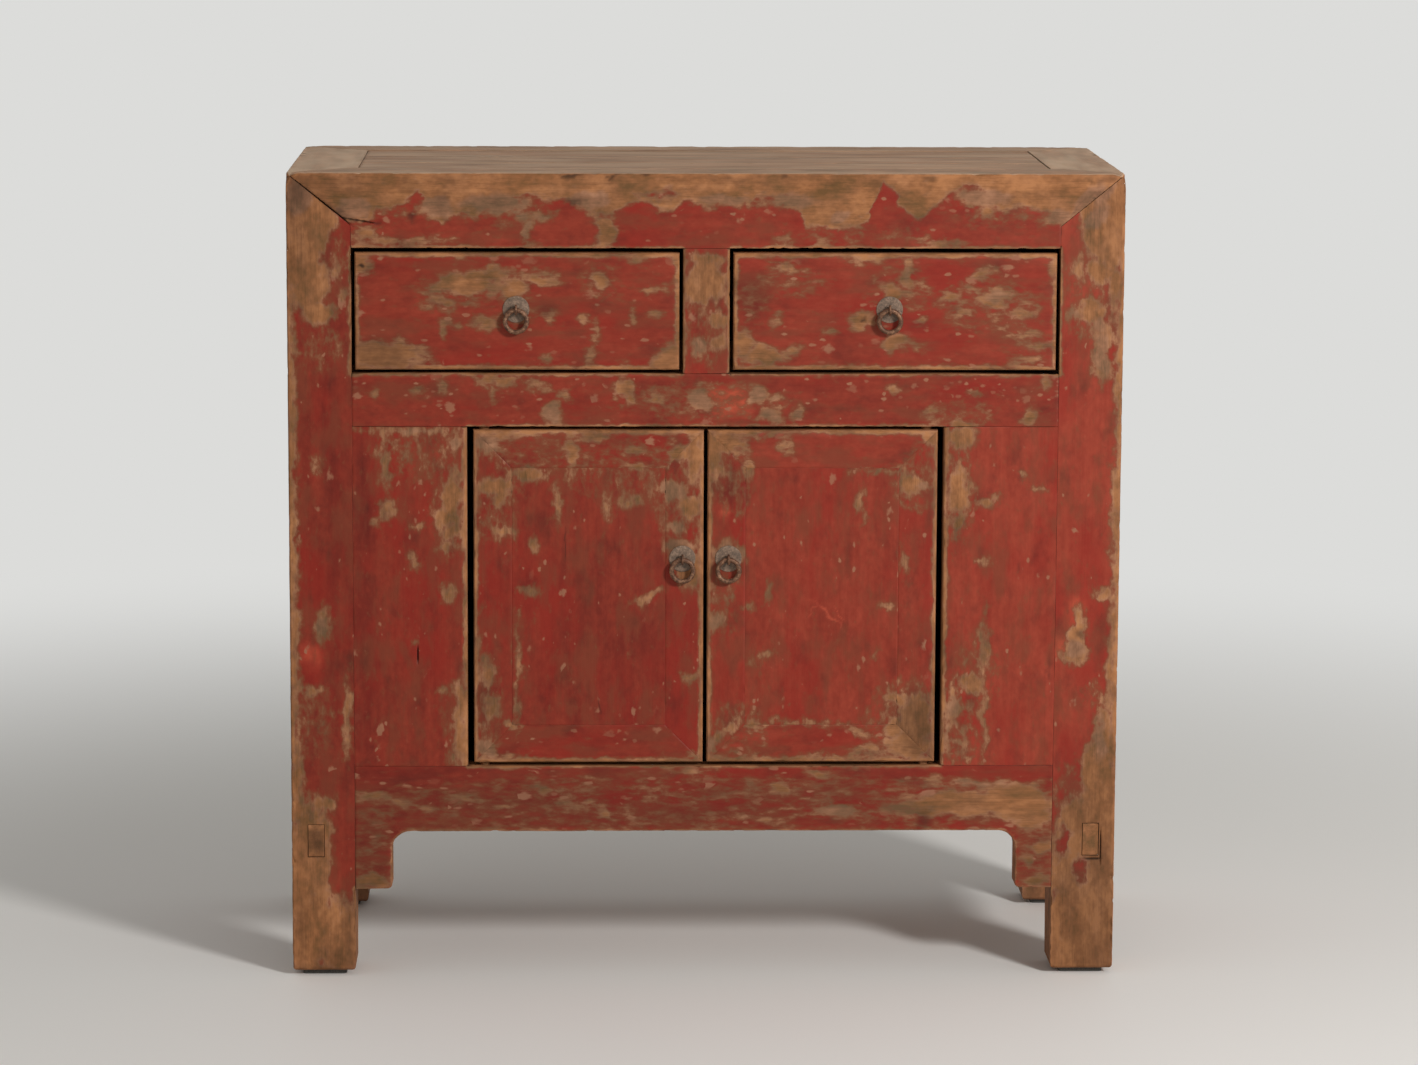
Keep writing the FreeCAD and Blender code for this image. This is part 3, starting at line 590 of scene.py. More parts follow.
def writeWear(bm, settings, shift, openTree, jointTree):
    s = spread
    layers = {name: bm.verts.layers.float.new(name) for name in wearNames}
    grainLayer = bm.verts.layers.float_vector.new("grain")
    order = grainOrder[settings["grain"]]
    sideOf = sidesShown(bm, settings)
    moves = {}
    for vert in bm.verts:
        point = vert.co
        place = point + shift
        grain = Vector([point[i] for i in order])
        side = sideOf.get(vert)
        worn = dict.fromkeys(wearNames, 0.0)
        worn.update(bare=1.0, tone=0.5, weathered=settings["raw"])
        if side == "top":
            worn["weathered"] = s["topGrey"]
            # dust on the top faces, with a painted sheen
            rubbedAndLit = Vector((grain.x / s["dustAndSheenDrawn"], grain.y, grain.z)) + shift
            worn["dustAndSheen"] = settings["dustAndSheen"] * (1 + drift("dustAndSheen", rubbedAndLit))
        elif side in ("front", "left", "right"):
            worn["scatter"] = settings["scatter"] * (0.5 + drift("specks", place))
            bend = Vector()
            for size, reach in s["bends"]:
                bend += noise.noise_vector(place * perMetre(size)[0]) * reach
            x, z = point.x / mm + bend.x, point.z / mm + bend.z
            if side == "front":
                worn["bare"], worn["tone"], worn["weathered"] = frontWear(settings, x, z)
            else:
                size, strength = s["endPatches"]
                patchy = (fractal(place, size, 4) - settings["sideHold"]) * strength
                foot = settings["bareBelow"] + drift("footLine", place) - z
                worn["bare"] = limited(0.5 + max(patchy, foot) / s["patchEdge"])
                worn["tone"] = settings["shadeAndLight"]
                worn["weathered"] = s["freshGrey"]
        if side:
            toOpen = openTree.find(point)[2] / mm
            width = settings["arris"] * (1 + drift("arris", place))
            worn["bare"] = max(worn["bare"], limited(0.5 + (width - toOpen) / s["arrisEdge"]))
            # paler along open arrises: rubbing, and a painted highlight
            worn["tone"] += (s["arrisRubAndHighlight"] - worn["tone"]) * limited(1 - toOpen / s["arrisRubAndHighlightReach"])
            atJoint = jointTree.find(point)[2] < s["jointReach"] * mm
            if atJoint and vert.normal.dot(sideWays[side]) < s["jointLean"]:
                worn["dark"] = limited(settings["joint"] * (1 + drift("joint", place)))
            sink = handWork["wave"] * limited(0.5 + drift("wave", place))
            sink += handWork["lacquer"] * limited(s["stepSlope"] * (worn["bare"] - s["stepStart"]))
            knocked = limited(1 - toOpen / s["dentReach"]) * limited(drift("dent", place) - s["dentStart"])
            sink += handWork["dent"] * knocked
            if side == "front":
                for patch, value in zip(settings["stained"], settings["stains"]):
                    stain = depthIn([patch], point.x / mm + bend.x / 2, z) / patch[6]
                    worn["dark"] = max(worn["dark"], value[5] * limited(0.5 + stain))
                crack = depthIn(settings["cracks"], point.x / mm, point.z / mm) / s["crackEdge"]
                crack = limited(1 + crack)
                worn["dark"] = max(worn["dark"], s["crackDarkness"] * crack)
                sink += handWork["crackDepth"] * crack
            tight = atJoint and settings["tightJoints"]
            moves[vert] = -(sideWays[side] if tight else vert.normal) * sink * mm
        grain.x /= settings["drawnOut"]
        vert[grainLayer] = grain + shift
        for name in wearNames:
            vert[layers[name]] = worn[name]
    for vert, move in moves.items():
        vert.co += move


def wearFoot(bm, size):
    # A leg's corners at the floor are worn round
    low = [v.co for v in bm.verts if v.co.z < handWork["footHeight"] * mm]
    ends = [(min(c[i] for c in low), max(c[i] for c in low)) for i in range(3)]
    for vert in bm.verts:
        up = vert.co.z - ends[2][0]
        for index in (0, 1):
            nearest = min(ends[index], key=lambda end: abs(vert.co[index] - end))
            inward = 1 if nearest == ends[index][0] else -1
            across = abs(vert.co[index] - nearest)
            away = hypot(size - across, size - up)
            if across < size and up < size and away > size:
                vert.co[index] = nearest + inward * (size - (size - across) * size / away)
                vert.co.z = ends[2][0] + size - (size - up) * size / away


def wearCorners(bm, reach, depth):
    # The cabinet's four top corners are knocked round
    low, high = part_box("front_left_leg")[0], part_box("back_right_leg")[1]
    middle = (low + high) / 2
    half = (high - low) / 2
    for vert in bm.verts:
        away = vert.co - Vector((middle.x, middle.y, 0))
        nearness = limited(1 - (half.x - abs(away.x)) / reach)
        nearness *= limited(1 - (half.y - abs(away.y)) / reach)
        nearness *= limited(1 - (cadBox[1][2] - away.z) / reach)
        inward = Vector((-1 if away.x > 0 else 1, -1 if away.y > 0 else 1, -1))
        vert.co += inward * depth * nearness ** 2


def dressed(bm, name, material):
    mesh = bpy.data.meshes.new(name + "_dressed")
    bm.to_mesh(mesh)
    bm.free()
    mesh.shade_smooth()
    mesh.set_sharp_from_angle(angle=radians(handWork["shadeSharp"]))
    mesh.materials.append(material)
    piece = bpy.data.objects.new(name + "_dressed", mesh)
    bpy.context.scene.collection.objects.link(piece)
    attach(piece, bodyOf[name])
    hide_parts(name)
    return piece


def wornCopy(own):
    # The piece with its arrises worn, its faces netted and its wear written on it
    name = own["node"]
    settings = {**plainPiece, **own}
    settings["toned"] = readyPatches(settings["tonesAndLights"])
    settings["stained"] = readyPatches(settings["stains"])
    for key in ("bare", "grey", "thin", "kept", "cracks"):
        settings[key] = readyPatches(settings[key])
    others = otherWood(name)
    gathered = bmesh.new()
    board = bpy.data.meshes.new("board")
    start = handWork["nodeStep"] * list(nodes).index(name)
    stepX, stepY, stepZ = handWork["boardStep"]
    for number, bm in enumerate(boardsOf(settings)):
        shift = Vector((start + stepX * number, stepY * number, stepZ * number))
        for axis, places in settings["breaks"].items():
            cutAcross(bm, bm.faces[:], axis, places)
        openTree, jointTree = roundArrises(bm, settings, others)
        netFaces(bm, settings)
        writeWear(bm, settings, shift, openTree, jointTree)
        wearCorners(bm, handWork["cornerReach"] * mm, handWork["cornerWear"] * mm)
        if name.endswith("leg"):
            wearFoot(bm, handWork["footRound"] * mm)
        bm.to_mesh(board)
        gathered.from_mesh(board)
        bm.free()
    bpy.data.meshes.remove(board)
    return dressed(gathered, name, lacquerMaterial)


def forgedCopy(name):
    bm = bmesh.new()
    bm.from_mesh(nodes[name].data)
    bmesh.ops.remove_doubles(bm, verts=bm.verts, dist=handWork["merge"] * mm)
    bm.normal_update()
    for vert in bm.verts:
        hammered = limited(0.5 + fractal(vert.co, handWork["hammerMarks"], 2))
        vert.co -= vert.normal * handWork["forging"] * mm * hammered
    return dressed(bm, name, plateMaterial if name.endswith("plate") else ringMaterial)


def between(low, high, count):
    return [low + (high - low) * k / count for k in range(1, count)]


def edgesOf(axis, *names):
    index = "xyz".index(axis)
    return sorted({round(corner[index], 6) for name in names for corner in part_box(name)})


legBreaks = edgesOf("z", "middle_rail", "front_apron") + [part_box("top_front_rail")[0].z]
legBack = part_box("front_left_leg")[1].y
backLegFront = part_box("back_left_leg")[0].y
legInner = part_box("front_left_leg")[1].x
doorSides = edgesOf("x", "left_fixed_panel", "right_fixed_panel")[1:3]
dividerSides = edgesOf("x", "drawer_divider_stile")
boardCounts = {"top": 3, "end": 2, "back": 5, "floor": 4}  # between the legs

# The front pieces' shades run darker on the left and lighter on the right: partly painted light falling
# from the right
frontLeftLeg = {
    "node": "front_left_leg", "grain": "z", "shows": ("front", "left"), "breaks": {"z": legBreaks},
    "arris": 2.5, "scatter": 0.42, "shadeAndLight": 0.4, "bareBelow": 190,
    "bare": [
        (-482, 900, 26, 85), (-468, 925, 28, 36), (-470, 845, 19, 36), (-462, 812, 20, 14),
        (-441, 865, 6, 12), (-435, 830, 4, 8), (-497, 560, 8, 340), (-460, 432, 9, 18),
        (-472, 352, 8, 7), (-429, 320, 5, 34), (-482, 95, 28, 125), (-440, 48, 26, 50),
        (-468, 150, 17, 62), (-462, 214, 20, 8), (-492, 225, 10, 55),
    ],
    "kept": [(-438, 190, 13, 88)],
    "thin": [(-466, 628, 15, 16), (-470, 320, 24, 40), (-460, 770, 26, 30), (-438, 870, 10, 40)],
    "grey": [(-486, 950, 14, 24), (-460, 432, 8, 12)],
    "tonesAndLights": [(-472, 397, 15, 15, 0, 0.95), (-440, 520, 14, 160, 0, 0.35), (-470, 70, 34, 70, 0, 0.8)],
    "stains": [
        (-488, 955, 13, 15, 0, 0.5), (-478, 936, 7, 9, 0, 0.35), (-494, 930, 5, 12, 0, 0.45),
        (-486, 885, 16, 50, 0, 0.24), (-470, 4, 40, 8, 0, 0.35), (-430, 60, 8, 60, 0, 0.25),
        (-488, 60, 7, 34, 0, 0.25), (-445, 20, 14, 12, 0, 0.3), (-470, 95, 10, 16, 0, 0.2),
    ],
}
frontRightLeg = {
    "node": "front_right_leg", "grain": "z", "shows": ("front", "right"), "breaks": {"z": legBreaks},
    "arris": 2.5, "scatter": 0.2, "shadeAndLight": 0.62, "bareBelow": 230,
    "bare": [
        (485, 925, 22, 70), (468, 940, 24, 36), (470, 900, 18, 24), (470, 862, 14, 16),
        (486, 850, 8, 42), (462, 815, 18, 14), (476, 782, 8, 24), (470, 742, 8, 9), (445, 868, 5, 12),
        (497, 560, 6, 330), (482, 472, 10, 8), (455, 440, 6, 13), (452, 420, 10, 14),
        (448, 398, 16, 13), (492, 380, 6, 70), (488, 290, 11, 50), (476, 250, 19, 40),
        (480, 130, 32, 150), (455, 150, 34, 72), (450, 48, 36, 60),
    ],
    "grey": [
        (472, 800, 9, 12), (440, 815, 5, 8), (449, 400, 11, 10), (478, 956, 9, 18, -30),
        (466, 925, 9, 20, -40), (480, 300, 6, 30), (474, 760, 8, 30),
    ],
    "kept": [(436, 264, 14, 32), (436, 165, 7, 18), (460, 132, 8, 17)],
    "thin": [(462, 830, 34, 60), (440, 225, 18, 40), (470, 345, 12, 20)],
    "tonesAndLights": [(442, 430, 12, 32, -18, 1.2), (468, 198, 7, 10, 0, 0.95)],
    "stains": [
        (455, 420, 4, 6, 0, 0.5), (449, 402, 10, 11, 0, 0.25), (468, 90, 60, 160, 0, 0.36),
        (470, 4, 44, 8, 0, 0.35), (474, 143, 12, 4, 0, 0.5), (440, 30, 12, 26, 0, 0.3),
        (430, 90, 8, 50, 0, 0.3), (488, 24, 10, 16, 0, 0.3), (462, 100, 8, 40, 0, 0.2),
        (457, 168, 3, 22, 13, 0.3), (484, 186, 2.5, 26, 2, 0.3), (482, 962, 10, 1.5, 45, 0.3),
        (485, 900, 22, 60, 0, 0.13),
    ],
    "cracks": [(473, 143.5, 8, 1), (482.5, 158, 0.6, 14)],
    "fine": [((450, 136), (490, 214), 1.2)],
}
backLegs = {"grain": "z", "arris": 2.5, "scatter": 0.2, "bareBelow": 200, "sideHold": 0.38, "raw": 0.55}
for leg in (frontLeftLeg, frontRightLeg):
    wornCopy(leg)
for hand in ("left", "right"):
    wornCopy({**backLegs, "node": f"back_{hand}_leg", "shows": (hand, "back")})

# The front rail is rubbed bare above this line
rubbedLine = [
    (-500, 900), (-425, 921), (-400, 921), (-392, 934), (-372, 936), (-356, 946), (-344, 952),
    (-338, 944), (-328, 926), (-318, 917), (-308, 930), (-283, 924), (-268, 932), (-252, 940),
    (-236, 946), (-196, 950), (-172, 948), (-160, 940), (-130, 930), (-112, 930), (-98, 934),
    (-84, 944), (-72, 944), (-58, 934), (-44, 936), (-30, 946), (-12, 940), (0, 934), (48, 940),
    (62, 950), (90, 951), (106, 944), (114, 930), (124, 914), (180, 914), (194, 922), (200, 950),
    (210, 968), (222, 962), (230, 944), (240, 928), (252, 921), (264, 932), (288, 956), (310, 963),
    (330, 960), (342, 944), (352, 934), (370, 940), (396, 936), (410, 926), (425, 916), (500, 900),
]
topFrontRail = {
    "node": "top_front_rail", "grain": "x", "shows": ("front", "top"), "breaks": {"x": dividerSides},
    "arris": 2, "scatter": 0.3, "shadeAndLight": 0.5, "bareAbove": rubbedLine,
    "bare": [
        (-121, 908, 13, 20), (-405, 906, 12, 7), (-372, 896, 38, 4), (90, 896, 8, 4), (140, 896, 8, 4),
        (276, 896, 16, 4), (334, 932, 10, 8), (430, 930, 12, 14),
    ],
    "grey": [
        (-211, 912, 5, 18), (-224, 930, 14, 5), (-196, 926, 12, 5), (452, 944, 9, 34, -45),
        (160, 926, 9, 6), (-250, 940, 40, 10), (-320, 935, 20, 12), (-140, 945, 26, 10),
        (100, 945, 30, 8), (-420, 935, 20, 10), (330, 950, 30, 10), (20, 945, 30, 8),
        (420, 925, 20, 10),
    ],
    "kept": [(-55, 953, 14, 3), (-170, 936, 20, 6)],
    # The first tone, lighter at the right end, is painted light
    "tonesAndLights": [(390, 956, 56, 18, 0, 0.95), (-250, 962, 70, 10, 0, 0.45), (-445, 958, 40, 18, 0, 0.35)],
    "thin": [(-370, 930, 40, 10), (-230, 920, 30, 14), (170, 905, 90, 12), (350, 925, 60, 12)],
    "stains": [
        (-158, 943, 12, 4, 0, 0.6), (-350, 923, 5, 6, 0, 0.6), (-436, 934, 6, 3, 0, 0.5),
        (-162, 975, 13, 2, 0, 0.7), (-112, 974, 8, 2, 0, 0.7), (-74, 975, 6, 2, 0, 0.6),
        (94, 974, 3, 3, 0, 0.6), (265, 971, 8, 3, 0, 0.5), (455, 970, 9, 3, 0, 0.5),
        (-354, 964, 14, 10, 0, 0.3), (-470, 962, 30, 12, -20, 0.25), (-460, 946, 40, 5, -38, 0.4),
        (-430, 926, 12, 6, -20, 0.4), (450, 946, 26, 1.6, 40, 0.3), (464, 952, 20, 1.4, 48, 0.3),
        (-300, 970, 30, 4, 0, 0.2), (200, 966, 6, 8, 0, 0.25), (20, 972, 50, 3, 0, 0.15),
        (-438, 962, 36, 14, 0, 0.24),
    ],
    "cracks": [(-464, 948, 38, 0.9, -38), (-416, 921, 20, 0.7, -9)],
    "fine": [((-500, 912), (-394, 976), 1.2)],
}
wornCopy(topFrontRail)
wornCopy({"node": "top_back_rail", "grain": "x", "shows": ("back", "top"), "raw": 0.5, "drawnOut": 2})
# The end rails' tops get more dust, which also paints their pale sheen
for hand in ("left", "right"):
    wornCopy({
        "node": f"top_{hand}_rail", "grain": "y", "shows": (hand, "top"),
        "sideHold": 0.1, "arris": 5, "dustAndSheen": 0.5, "drawnOut": 2,
    })
wornCopy({
    "node": "top_panel", "grain": "x", "shows": ("top",), "slot": "worn_wood", "drawnOut": 3,
    "sawn": ("y", between(legBack, backLegFront, boardCounts["top"])),
})

dividerStile = {
    "node": "drawer_divider_stile", "grain": "z", "shows": ("front",), "arris": 2.5, "scatter": 0.55,
    "bare": [(-4, 846, 26, 27), (0, 874, 24, 8), (12, 800, 14, 7), (12, 776, 10, 8)],
    "grey": [(-8, 772, 9, 10)],
    "kept": [(-18, 867, 6, 5), (9, 821, 8, 6)],
    "thin": [(0, 800, 28, 60)],
    "stains": [(-6, 846, 26, 30, 0, 0.12)],
}
middleRail = {
    "node": "middle_rail", "grain": "x", "shows": ("front",), "breaks": {"x": doorSides + dividerSides},
    "arris": 2, "scatter": 0.62, "shadeAndLight": 0.46,
    "bare": [
        (-262, 729, 14, 8), (-241, 728, 12, 8), (-98, 720, 14, 12), (-88, 704, 6, 6), (388, 686, 8, 9),
        (408, 728, 6, 6), (225, 716, 4, 5), (322, 716, 3, 3), (270, 689, 10, 6), (-345, 719, 5, 4),
        (-315, 722, 4, 6), (-256, 714, 4, 6), (-200, 722, 8, 4), (308, 674, 16, 9), (-60, 706, 6, 5),
        (-395, 716, 4, 5), (-175, 712, 5, 4),
    ],
    "grey": [
        (-182, 690, 11, 14), (-5, 708, 12, 12), (60, 712, 12, 10), (76, 688, 14, 9), (83, 709, 6, 5),
        (110, 691, 8, 6),
    ],
    "thin": [(-240, 725, 40, 12), (0, 705, 110, 24), (310, 690, 40, 16)],
    "tonesAndLights": [(25, 705, 24, 16, 0, 1.15), (-55, 704, 34, 22, 0, 0.4)],
}
leftFixedPanel = {
    "node": "left_fixed_panel", "grain": "z", "shows": ("front",),
    "arris": 2.5, "scatter": 0.4, "shadeAndLight": 0.45,
    "bare": [
        (-303, 588, 13, 32), (-315, 560, 12, 16), (-306, 545, 16, 8), (-385, 636, 4, 28),
        (-293, 340, 7, 24), (-298, 300, 7, 44), (-350, 510, 5, 9), (-311, 472, 6, 9), (-348, 411, 4, 4),
        (-382, 572, 7, 10), (-395, 558, 4, 4), (-345, 550, 8, 4), (-315, 352, 6, 4), (-310, 530, 8, 4),
    ],
    "grey": [(-303, 656, 7, 9), (-350, 669, 42, 4)],
    "thin": [(-345, 640, 55, 34), (-302, 300, 16, 60), (-305, 575, 26, 60)],
    "tonesAndLights": [(-410, 470, 14, 230, 0, 0.28), (-345, 640, 44, 34, 0, 0.58)],
    "cracks": [(-346, 397, 0.6, 7)],
    "fine": [((-351, 384), (-341, 410), 0.9)],
}
rightFixedPanel = {
    "node": "right_fixed_panel", "grain": "z", "shows": ("front",),
    "arris": 2.5, "scatter": 0.2, "shadeAndLight": 0.6,
    "bare": [
        (308, 661, 17, 15), (304, 598, 13, 34), (303, 560, 9, 10), (335, 580, 7, 4), (346, 588, 4, 4),
        (401, 602, 4, 4), (382, 612, 4, 4), (333, 512, 6, 4), (336, 400, 4, 26), (322, 358, 17, 14),
        (300, 330, 7, 20),
    ],
    "grey": [
        (298, 336, 7, 12), (339, 310, 1.4, 44), (296, 300, 1.4, 30), (308, 312, 1.2, 20, 20),
        (315, 285, 1.2, 18, -8), (303, 330, 9, 1.2, 15), (303, 290, 9, 1.2, -20), (306, 272, 10, 1.2),
    ],
    "fine": [((289, 262), (345, 345), 1.75)],
    "thin": [(308, 300, 26, 44), (302, 600, 26, 80), (325, 370, 30, 50)],
    "tonesAndLights": [(322, 358, 18, 16, 0, 0.95)],
    "stains": [(379, 500, 2, 8, 0, 0.35), (417, 376, 2, 16, 0, 0.4)],
}
frontApron = {
    "node": "front_apron", "grain": "x", "shows": ("front",), "breaks": {"x": doorSides},
    "arris": 2, "scatter": 0.5, "shadeAndLight": 0.37, "drawnOut": 1.6,
    "bare": [
        (-398, 222, 16, 4), (-368, 217, 14, 3), (-390, 202, 12, 3), (-288, 220, 18, 3),
        (-240, 208, 10, 3), (-195, 230, 7, 6), (-160, 212, 14, 3), (-120, 205, 9, 6), (-70, 218, 8, 3),
        (-15, 253, 18, 3), (90, 230, 10, 7), (135, 250, 10, 4), (70, 190, 14, 3), (-330, 208, 12, 3),
        (330, 214, 104, 15), (382, 214, 40, 27), (398, 194, 30, 12), (265, 205, 40, 6),
        (-404, 116, 24, 9), (412, 158, 10, 12), (394, 140, 8, 9), (404, 117, 18, 9),
    ],
    "grey": [(160, 203, 26, 9), (330, 238, 60, 4)],
    "kept": [(350, 249, 80, 8), (300, 190, 40, 6)],
    "thin": [(0, 212, 440, 40), (-405, 150, 30, 60), (405, 160, 40, 60)],
    "stains": [
        (266, 193, 9, 13, 0, 0.5), (340, 196, 60, 5, 0, 0.25), (-100, 212, 340, 30, 0, 0.2),
        (402, 150, 16, 30, 0, 0.12), (-404, 150, 26, 60, 0, 0.2),
    ],
}
for piece in (dividerStile, middleRail, leftFixedPanel, rightFixedPanel, frontApron):
    wornCopy(piece)

leftDrawerFront = {
    "node": "left_drawer_front", "grain": "x", "shows": ("front",),
    "drawnOut": 1.25, "arris": 2.2, "scatter": 0.5, "shadeAndLight": 0.5,
    "bare": [
        (-411, 869, 11, 13), (-288, 844, 40, 13), (-262, 857, 24, 6), (-320, 838, 15, 5),
        (-320, 822, 15, 6), (-232, 841, 18, 12), (-200, 852, 20, 6), (-128, 851, 8, 15, 20),
        (-62, 838, 12, 4), (-383, 760, 50, 17), (-44, 756, 24, 16, 35), (-312, 790, 5, 10),
        (-265, 798, 12, 6), (-190, 757, 4, 6), (-138, 760, 6, 8), (-100, 750, 6, 4), (-85, 808, 5, 8),
        (-60, 808, 8, 4), (-145, 804, 6, 4), (-130, 790, 4, 9), (-34, 866, 3, 14), (-295, 791, 3, 3),
        (-188, 808, 8, 5), (-85, 875, 12, 4),
    ],
    "thin": [(-285, 840, 60, 26), (-128, 848, 26, 26), (-230, 815, 34, 20)],
    "stains": [
        (-409, 867, 2.6, 2.6, 0, 0.85), (-383, 760, 52, 19, 0, 0.33), (-190, 815, 12, 6, 0, 0.35),
        (-128, 851, 12, 18, 20, 0.2),
    ],
    "fine": [((-414, 862), (-404, 872), 1.2)],
}
rightDrawerFront = {
    "node": "right_drawer_front", "grain": "x", "shows": ("front",),
    "drawnOut": 1.25, "arris": 2.2, "scatter": 0.52, "shadeAndLight": 0.52,
    "bare": [
        (46, 774, 14, 17), (70, 757, 26, 12), (240, 855, 7, 22), (186, 803, 15, 9), (224, 776, 13, 10),
        (250, 775, 9, 4), (290, 832, 12, 6), (350, 830, 24, 10), (376, 810, 14, 6), (330, 858, 12, 4),
        (310, 811, 7, 3), (385, 785, 16, 3), (395, 770, 16, 3), (386, 755, 14, 3), (100, 860, 5, 5),
        (92, 868, 6, 3), (85, 803, 7, 5), (258, 803, 5, 4), (105, 767, 5, 6), (148, 788, 6, 3),
        (190, 873, 14, 5), (416, 862, 4, 18), (320, 838, 10, 4), (225, 835, 12, 8),
    ],
    "grey": [(350, 831, 18, 6), (240, 858, 4, 14)],
    "thin": [(58, 826, 18, 34), (230, 840, 40, 34), (340, 820, 70, 34), (100, 850, 50, 20)],
    # The last tone, lighter at the right end, is painted light
    "tonesAndLights": [(55, 826, 16, 30, 0, 0.3), (62, 760, 22, 11, 0, 0.85), (350, 830, 16, 7, 0, 0.8)],
    "stains": [(187, 803, 3, 2, 0, 0.7), (50, 826, 24, 34, 0, 0.16)],
}
for piece in (leftDrawerFront, rightDrawerFront):
    wornCopy(piece)

doorParts = {"pivot_stile": "z", "inner_stile": "z", "top_rail": "x", "bottom_rail": "x", "panel": "z"}
doorJoints = {"joint": 0.04, "jointRound": 0.08, "tightJoints": True}  # lacquered over, hardly seen
leftDoor = {
    "scatter": 0.36, "shadeAndLight": 0.44,
    "bare": [
        (-252, 601, 24, 10), (-250, 586, 9, 12), (-245, 548, 14, 5), (-160, 645, 7, 26),
        (-135, 665, 16, 6), (-215, 615, 20, 9), (-240, 665, 16, 7), (-11, 640, 11, 34),
        (-30, 640, 14, 8), (-20, 576, 15, 14), (-92, 585, 16, 7), (-85, 642, 16, 4), (-82, 625, 12, 5),
        (-205, 532, 5, 8), (-210, 474, 8, 4), (-70, 467, 12, 4, 25), (-22, 367, 7, 6),
        (-263, 375, 9, 18), (-258, 330, 9, 16), (-235, 310, 7, 5), (-248, 269, 20, 5),
        (-276, 400, 3, 30), (-226, 370, 1.2, 40), (-8, 271, 9, 6), (-20, 500, 16, 20),
        (-120, 580, 4, 12), (-178, 590, 3, 16),
    ],
    "grey": [
        (-262, 655, 14, 13), (-38, 597, 17, 12), (-35, 553, 12, 8), (-262, 282, 11, 11),
        (-30, 528, 18, 10),
    ],
    "thin": [
        (-210, 640, 60, 26), (-30, 590, 34, 90), (-250, 570, 30, 40), (-262, 330, 20, 60),
        (-100, 620, 80, 40),
    ],
    "tonesAndLights": [(-258, 630, 14, 11, 0, 0.35), (-110, 400, 80, 110, 0, 0.38), (-252, 600, 20, 9, 0, 0.9)],
    "stains": [
        (-170, 530, 1, 20, 0, 0.6), (-128, 335, 1, 9, 0, 0.5), (-172, 500, 3, 30, 0, 0.25),
        (-264, 340, 8, 40, 0, 0.3), (-266, 660, 6, 6, 0, 0.35), (-40, 530, 8, 10, 0, 0.3),
        (-195, 345, 4, 6, 0, 0.25), (-160, 340, 8, 5, 0, 0.2), (-142, 355, 3, 14, 0, 0.2),
        (-180, 366, 3, 5, 0, 0.2),
    ],
    "fine": [
        ((-175, 508), (-165, 552), 1.2), ((-133, 324), (-123, 346), 1.2),
        ((-234, 320), (-218, 420), 1.75),
    ],
}
rightDoor = {
    "scatter": 0.22, "shadeAndLight": 0.54,
    "bare": [
        (28, 656, 24, 14), (12, 640, 9, 30), (50, 626, 6, 13), (95, 652, 9, 7), (98, 640, 4, 3),
        (70, 663, 6, 4), (269, 661, 7, 9), (247, 605, 12, 16), (220, 621, 18, 2),
        (25, 303, 27, 5, 45), (60, 313, 10, 5), (110, 313, 30, 2), (256, 316, 20, 34),
        (234, 342, 14, 9), (228, 304, 12, 12), (206, 278, 24, 6), (190, 301, 16, 5, -20),
        (248, 284, 26, 15), (120, 268, 118, 4), (70, 395, 8, 4, 40), (207, 398, 3, 4),
        (185, 577, 2, 10), (238, 505, 3, 9), (222, 456, 6, 4), (55, 453, 4, 3), (78, 478, 3, 6),
    ],
    "fine": [((118, 412), (184, 474), 1.75)],
    "grey": [(260, 602, 11, 6), (12, 437, 9, 12), (8, 281, 6, 10), (30, 520, 18, 14)],
    "thin": [
        (34, 600, 26, 40), (255, 610, 34, 44), (240, 310, 50, 60), (40, 300, 40, 40), (20, 470, 24, 50),
    ],
    "tonesAndLights": [
        (34, 600, 20, 28, 0, 0.3), (21, 570, 6, 6, 0, 0.9), (148, 444, 26, 1.2, -40, 0.85),
        (164, 446, 12, 1.2, -62, 0.85), (130, 450, 9, 1.2, 60, 0.8), (150, 300, 60, 10, 0, 0.45),
    ],
    "stains": [
        (250, 326, 10, 8, 0, 0.4), (263, 300, 9, 12, 0, 0.45), (243, 296, 8, 8, 0, 0.4),
        (269, 335, 6, 14, 0, 0.35), (236, 310, 5, 5, 0, 0.4), (256, 308, 24, 40, 0, 0.44),
        (30, 606, 6, 20, 0, 0.25),
    ],
}
for hand, door in (("left", leftDoor), ("right", rightDoor)):
    for part, grain in doorParts.items():
        node = f"{hand}_door_{part}"
        wornCopy({**doorJoints, **door, "node": node, "grain": grain, "shows": ("front",)})
print("front worn")

tenonEnds = {"left": [(-470, 168, 11, 22, 0, 0.55)], "right": []}
for hand, sign in (("left", -1), ("right", 1)):
    wornCopy({
        "node": f"{hand}_bottom_rail", "grain": "y", "shows": (hand, "front"),
        "bareBelow": 160, "sideHold": 0.2,
        "bare": [(sign * 470, 168, 40, 40)], "stains": tenonEnds[hand],
    })
    wornCopy({
        "node": f"{hand}_side_panel", "grain": "z", "shows": (hand,), "sideHold": 0.45, "scatter": 0.3,
        "sawn": ("y", between(legBack, backLegFront, boardCounts["end"])),
    })
backBoards = {
    "node": "back_boards", "grain": "z", "shows": ("back",), "raw": 0.6, "slot": "bare_wood",
    "drawnOut": 3, "sawn": ("x", between(legInner, -legInner, boardCounts["back"])),
}
floorCuts = between(legBack, backLegFront, boardCounts["floor"])
floorBoards = {
    "node": "floor_boards", "grain": "x", "raw": 0.45, "slot": "bare_wood",
    "drawnOut": 3, "sawn": ("y", [legBack, *floorCuts, backLegFront]),
}
for piece in (backBoards, floorBoards):
    wornCopy(piece)
